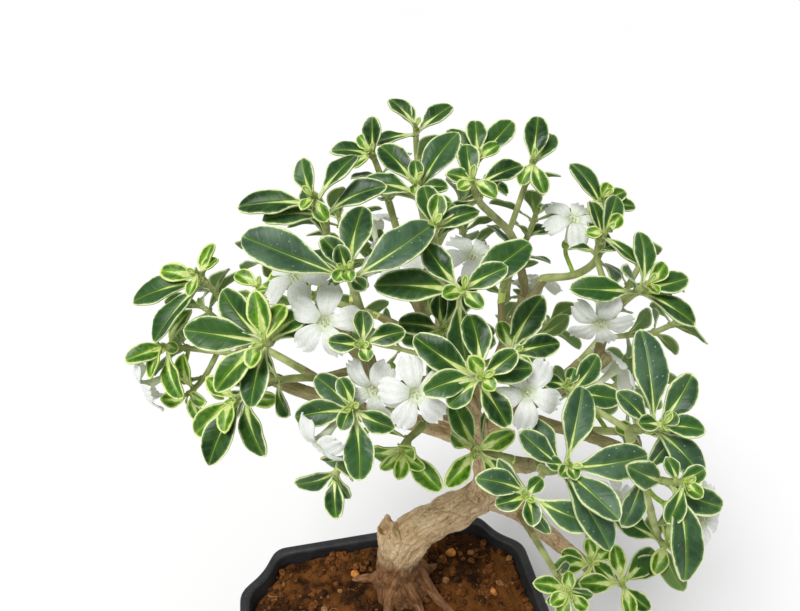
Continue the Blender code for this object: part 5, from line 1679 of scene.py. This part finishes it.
def build_spray(name, finishes):
    """One spray: its blades and buds, its twigs, the swelling under each leaf, its stalks and calyxes."""
    rng = random.Random(sum(map(ord, name)))
    bm = bmesh.new()
    bm.verts.layers.float_vector.new("blade")
    bm.verts.layers.float_vector.new("trait")
    blades = [Blade(leaf, age, rng) for leaf, age in zip(plan.leaves[name], leaf_ages(name))]
    for tip, axis, rows in plan.shoots[name]:
        if rows:
            blades += terminal_bud(bm, tip, axis, rng)
    faces = [face for blade in blades for face in add_blade(bm, blade)]
    bmesh.ops.solidify(bm, geom=faces, thickness=mm(BLADE_THICK))
    upper = set(faces)
    for face in bm.faces:
        if face.material_index == UPPER and face not in upper:
            face.material_index = UNDERSIDE
    bmesh.ops.remove_doubles(bm, verts=bm.verts, dist=mm(0.02))
    add_twigs(bm, name)
    for leaf in plan.leaves[name]:
        foot = leaf.root + leaf.chord * mm(0.2)
        swell = [foot - leaf.chord * mm(0.5), foot + leaf.chord * mm(0.5), foot + leaf.chord * mm(1.6)]
        add_sleeve(bm, tube_rings(swell, [mm(0.75), mm(0.68), mm(0.34)], 6), TWIG)
    for path, cup in plan.stalks.get(name, []):
        add_sleeve(bm, tube_rings(smooth_path(path, 3), [mm(STALK_RADIUS)] * 10, 8), BUD)
        girths = [mm(0.62 + 0.55 * math.sin(math.pi * min(0.16 + 0.62 * i / 8, 1))) for i in range(9)]
        add_sleeve(bm, tube_rings(smooth_path(cup, 4), girths, 10), BUD)
    add_piece(f"foliage_{name}", bm, finishes, [f"spray_{name}"])


spray_finishes = [leaf_finish("leaf_upper"), leaf_finish("leaf_underside", True), twig_finish(),
                  bud_finish(), cut_wood_finish()]
for name in plan.shoots:
    build_spray(name, spray_finishes)


# Each bloom is one white corolla: a narrow tube that flares to a throat, and five creased lobes with
# toothed tips. Cream anthers stand in its pale green throat, and its foot sits in the calyx on its stalk.

LOBE_GRID = (12, 14)  # cells across and along a lobe
PETAL_THICK = 0.26
TOOTH = 1.0  # height of the teeth at a lobe's tip
LOBE_START = 1.45  # from the throat's axis to where a lobe leaves the tube
TUBE_SIDES = 20
# Distance past the throat and radius, up the tube's outside and down its lining
TUBE_OUTSIDE = [
    (-8.0, 0.70), (-6.0, 0.78), (-3.6, 0.95), (-2.0, 1.2), (-0.8, 1.5), (0.0, 1.9), (0.42, 2.25)]
TUBE_INSIDE = [(0.36, 2.05), (-0.05, 1.5), (-0.45, 1.05), (-0.75, 0.65), (-0.95, 0.35)]
PETAL, ANTHER = range(2)  # places of the finishes on a corolla


def petal_finish():
    """Thin white petals with fine creases from the throat outwards, palest green at the throat."""
    petal = Finish("white_petal")
    where = petal.read("blade", "Vector")
    along = petal.split(where)[0]
    fine = petal.noise(1500, 3, 0.6)
    drawn_out = petal.node("Mapping", {"Vector": where, "Scale": (0.22, 2.6, 1.0)})
    lines = petal.noise(1.0, 3, 0.6, drawn_out)
    colour = petal.blend(fine, (0.83, 0.86, 0.78), (0.91, 0.93, 0.88))
    colour = petal.mix(petal.step(lines, 0.5, 0.72, 0, 0.4), colour, (0.74, 0.78, 0.72))
    colour = petal.mix(petal.step(along, 1.6, 0.0, 0, 0.55), colour, (0.66, 0.76, 0.44))
    relief = petal.add(petal.times(lines, 0.8), petal.times(fine, 0.2))
    return petal.end(Base_Color=colour, Roughness=petal.ramp(fine, 0.3, 0.7, 0.48, 0.62),
                     Subsurface_Weight=0.25, Subsurface_Radius=(0.0012, 0.0012, 0.0009),
                     Subsurface_Scale=1.0, Normal=petal.bump(relief, 0.35, 0.9))


def anther_finish():
    """The powdery cream of anthers and style."""
    anther = Finish("cream_anther")
    fine = anther.noise(2500, 3, 0.6)
    colour = anther.blend(fine, (0.66, 0.60, 0.38), (0.84, 0.82, 0.66))
    return anther.end(Base_Color=colour, Roughness=anther.ramp(fine, 0.3, 0.7, 0.6, 0.8),
                      Normal=anther.bump(fine, 0.06, 0.8))


def add_lobe(bm, bloom, index, rng):
    """Adds a lobe's upper face. It narrows at the throat, spreads, and ends in three teeth."""
    out = around(bloom.face, math.radians(bloom.turn + 360 / LOBES * index))
    wide = bloom.face.cross(out)
    layer = bm.verts.layers.float_vector["blade"]
    made = bmesh.ops.create_grid(bm, x_segments=LOBE_GRID[0], y_segments=LOBE_GRID[1], size=1.0)["verts"]
    faces = list(dict.fromkeys(face for vert in made for face in vert.link_faces))
    lift_more, roll, phase = rng.uniform(-0.9, 0.5), rng.uniform(-0.45, 0.45), rng.uniform(0, 6.3)
    size = rng.uniform(0.94, 1.04)
    slant = rng.uniform(-0.16, 0.16)
    for vert in made:
        u, v = vert.co.x, (vert.co.y + 1) / 2
        tooth = max(1 - abs(u + slant) / 0.36, 0) + 0.75 * max(1 - abs(abs(u + slant) - 0.72) / 0.3, 0)
        tooth += 0.4 * noise.noise(Vector((u * 4, phase, index)))
        reach = LOBE_START + (0.7 + LOBE_LENGTH * size - LOBE_START) * v
        reach += TOOTH * (tooth - 0.75) * v ** 5
        s = (reach - 0.7) / LOBE_LENGTH
        lift = 1.3 * math.sin(math.pi * min(s * 1.15, 1.0)) - 0.9 * s * s
        half = LOBE_WIDTH / 2 * (0.36 + 0.74 * math.sin(math.pi * min(0.06 + 0.68 * v, 1.0)) ** 1.3)
        half *= 1 - 0.16 * max(v - 0.8, 0) / 0.2 * abs(u)
        crease = 0.17 * math.cos(u * 9.4 + slant * 6) * v ** 0.7 - 0.7 * v * u * u * (1 - 0.4 * v)
        ruffle = 0.34 * math.sin(v * 7 + phase + u * 2) * abs(u) * v
        height = lift - 0.2 + crease + ruffle + lift_more * v * v + roll * u * v
        vert.co = bloom.throat + out * mm(reach) + wide * mm(half * u) + bloom.face * mm(height)
        vert[layer] = (reach - LOBE_START, half * u, 0)
    return faces


def build_bloom(name, finishes):
    """One corolla: its lobes, its tube with the lining, and the anthers round the style."""
    rng = random.Random(sum(map(ord, name)) + 5)
    bloom = plan.blooms[name]
    bm = bmesh.new()
    bm.verts.layers.float_vector.new("blade")
    faces = [face for index in range(LOBES) for face in add_lobe(bm, bloom, index, rng)]
    bmesh.ops.recalc_face_normals(bm, faces=faces)
    flat = sum((face.normal * face.calc_area() for face in faces), Vector())
    if flat.dot(bloom.face) < 0:
        bmesh.ops.reverse_faces(bm, faces=faces)
    bmesh.ops.solidify(bm, geom=faces, thickness=mm(PETAL_THICK))
    face = bloom.face
    skins = []
    for profile in (TUBE_OUTSIDE, TUBE_INSIDE[::-1]):
        path = [bloom.throat + face * mm(at) for at, _ in profile]
        skins.append(tube_rings(path, [mm(r) for _, r in profile], TUBE_SIDES, 0, face, face))
    outside, lining = skins
    add_sleeve(bm, [*outside, *reversed(lining)], PETAL, tip=bloom.throat - face * mm(1.1))
    for k in range(LOBES):
        out = around(face, math.radians(bloom.turn + 36 + 72 * k))
        foot = bloom.throat - face * mm(1.2) + out * mm(0.75)
        head = bloom.throat + face * mm(0.45) + out * mm(0.85)
        stem = [foot, foot.lerp(head, 0.45), foot.lerp(head, 0.6), foot.lerp(head, 0.9), head]
        add_sleeve(bm, tube_rings(stem, [mm(r) for r in (0.08, 0.08, 0.16, 0.18, 0.06)], 6), ANTHER)
    style = [bloom.throat - face * mm(2.5), bloom.throat + face * mm(0.9)]
    add_sleeve(bm, tube_rings(style, [mm(0.12), mm(0.2)], 6), ANTHER)
    add_piece(f"corolla_{name}", bm, finishes, [f"bloom_{name}"])


petal_finishes = [petal_finish(), anther_finish()]
for name in plan.blooms:
    build_bloom(name, petal_finishes)


# The studio is a plain pale floor under one large softbox, up on the left, with even light from all round.
# The camera looks down on the tree from the photograph's place.

CAMERA_PLACE = (-22.5, -120.6, 275.0)
CAMERA_DOWN = 36.3
CAMERA_TURN = 10.9
CAMERA_LENS = 30.0
SOFTBOX_WAY = (-150, 62)  # heading and rise of the way to it
SOFTBOX_STRENGTH = 2.5
SOFTBOX_SPREAD = 30
ROUND_LIGHT = 0.38
BACKDROP = 1.0  # brightness of the surroundings where the camera sees them
FLOOR_HALF = 3.0  # in metres


def floor_finish():
    """Matt near-white paper."""
    floor = Finish("studio_floor")
    grain = floor.noise(6, 2, 0.5)
    colour = floor.mix(grain, (0.93, 0.93, 0.93), (0.96, 0.96, 0.96))
    return floor.end(Base_Color=colour, Roughness=floor.ramp(grain, 0.3, 0.7, 0.85, 0.95))


floor_bm = bmesh.new()
bmesh.ops.create_grid(floor_bm, x_segments=1, y_segments=1, size=FLOOR_HALF)
floor_mesh = mesh_of(floor_bm)
floor = bpy.data.objects.new("studio_floor", floor_mesh)
bpy.context.scene.collection.objects.link(floor)
floor_mesh.materials.append(floor_finish())

light = bpy.data.lights.new("softbox", "SUN")
light.energy = SOFTBOX_STRENGTH
light.angle = math.radians(SOFTBOX_SPREAD)
softbox = bpy.data.objects.new("softbox", light)
softbox.rotation_euler = direction(*SOFTBOX_WAY).to_track_quat("Z", "Y").to_euler()
bpy.context.scene.collection.objects.link(softbox)

world = bpy.data.worlds.new("studio")
world.use_nodes = True
backdrop = world.node_tree.nodes["Background"]
backdrop.inputs["Color"].default_value = (1, 1, 1, 1)
seen = world.node_tree.nodes.new("ShaderNodeLightPath")
glow = world.node_tree.nodes.new("ShaderNodeMapRange")
glow.inputs["To Min"].default_value = ROUND_LIGHT
glow.inputs["To Max"].default_value = BACKDROP
world.node_tree.links.new(seen.outputs["Is Camera Ray"], glow.inputs["Value"])
world.node_tree.links.new(glow.outputs["Result"], backdrop.inputs["Strength"])
bpy.context.scene.world = world
bpy.context.scene.view_settings.view_transform = "Standard"

camera_data = bpy.data.cameras.new("camera")
camera_data.sensor_width = 36.0
camera_data.lens = CAMERA_LENS
camera_data.clip_start = 0.01
camera = bpy.data.objects.new("camera", camera_data)
camera.location = HOME + mm(CAMERA_PLACE)
camera.rotation_euler = (math.radians(90 - CAMERA_DOWN), 0, math.radians(-CAMERA_TURN))
bpy.context.scene.collection.objects.link(camera)
bpy.context.scene.camera = camera
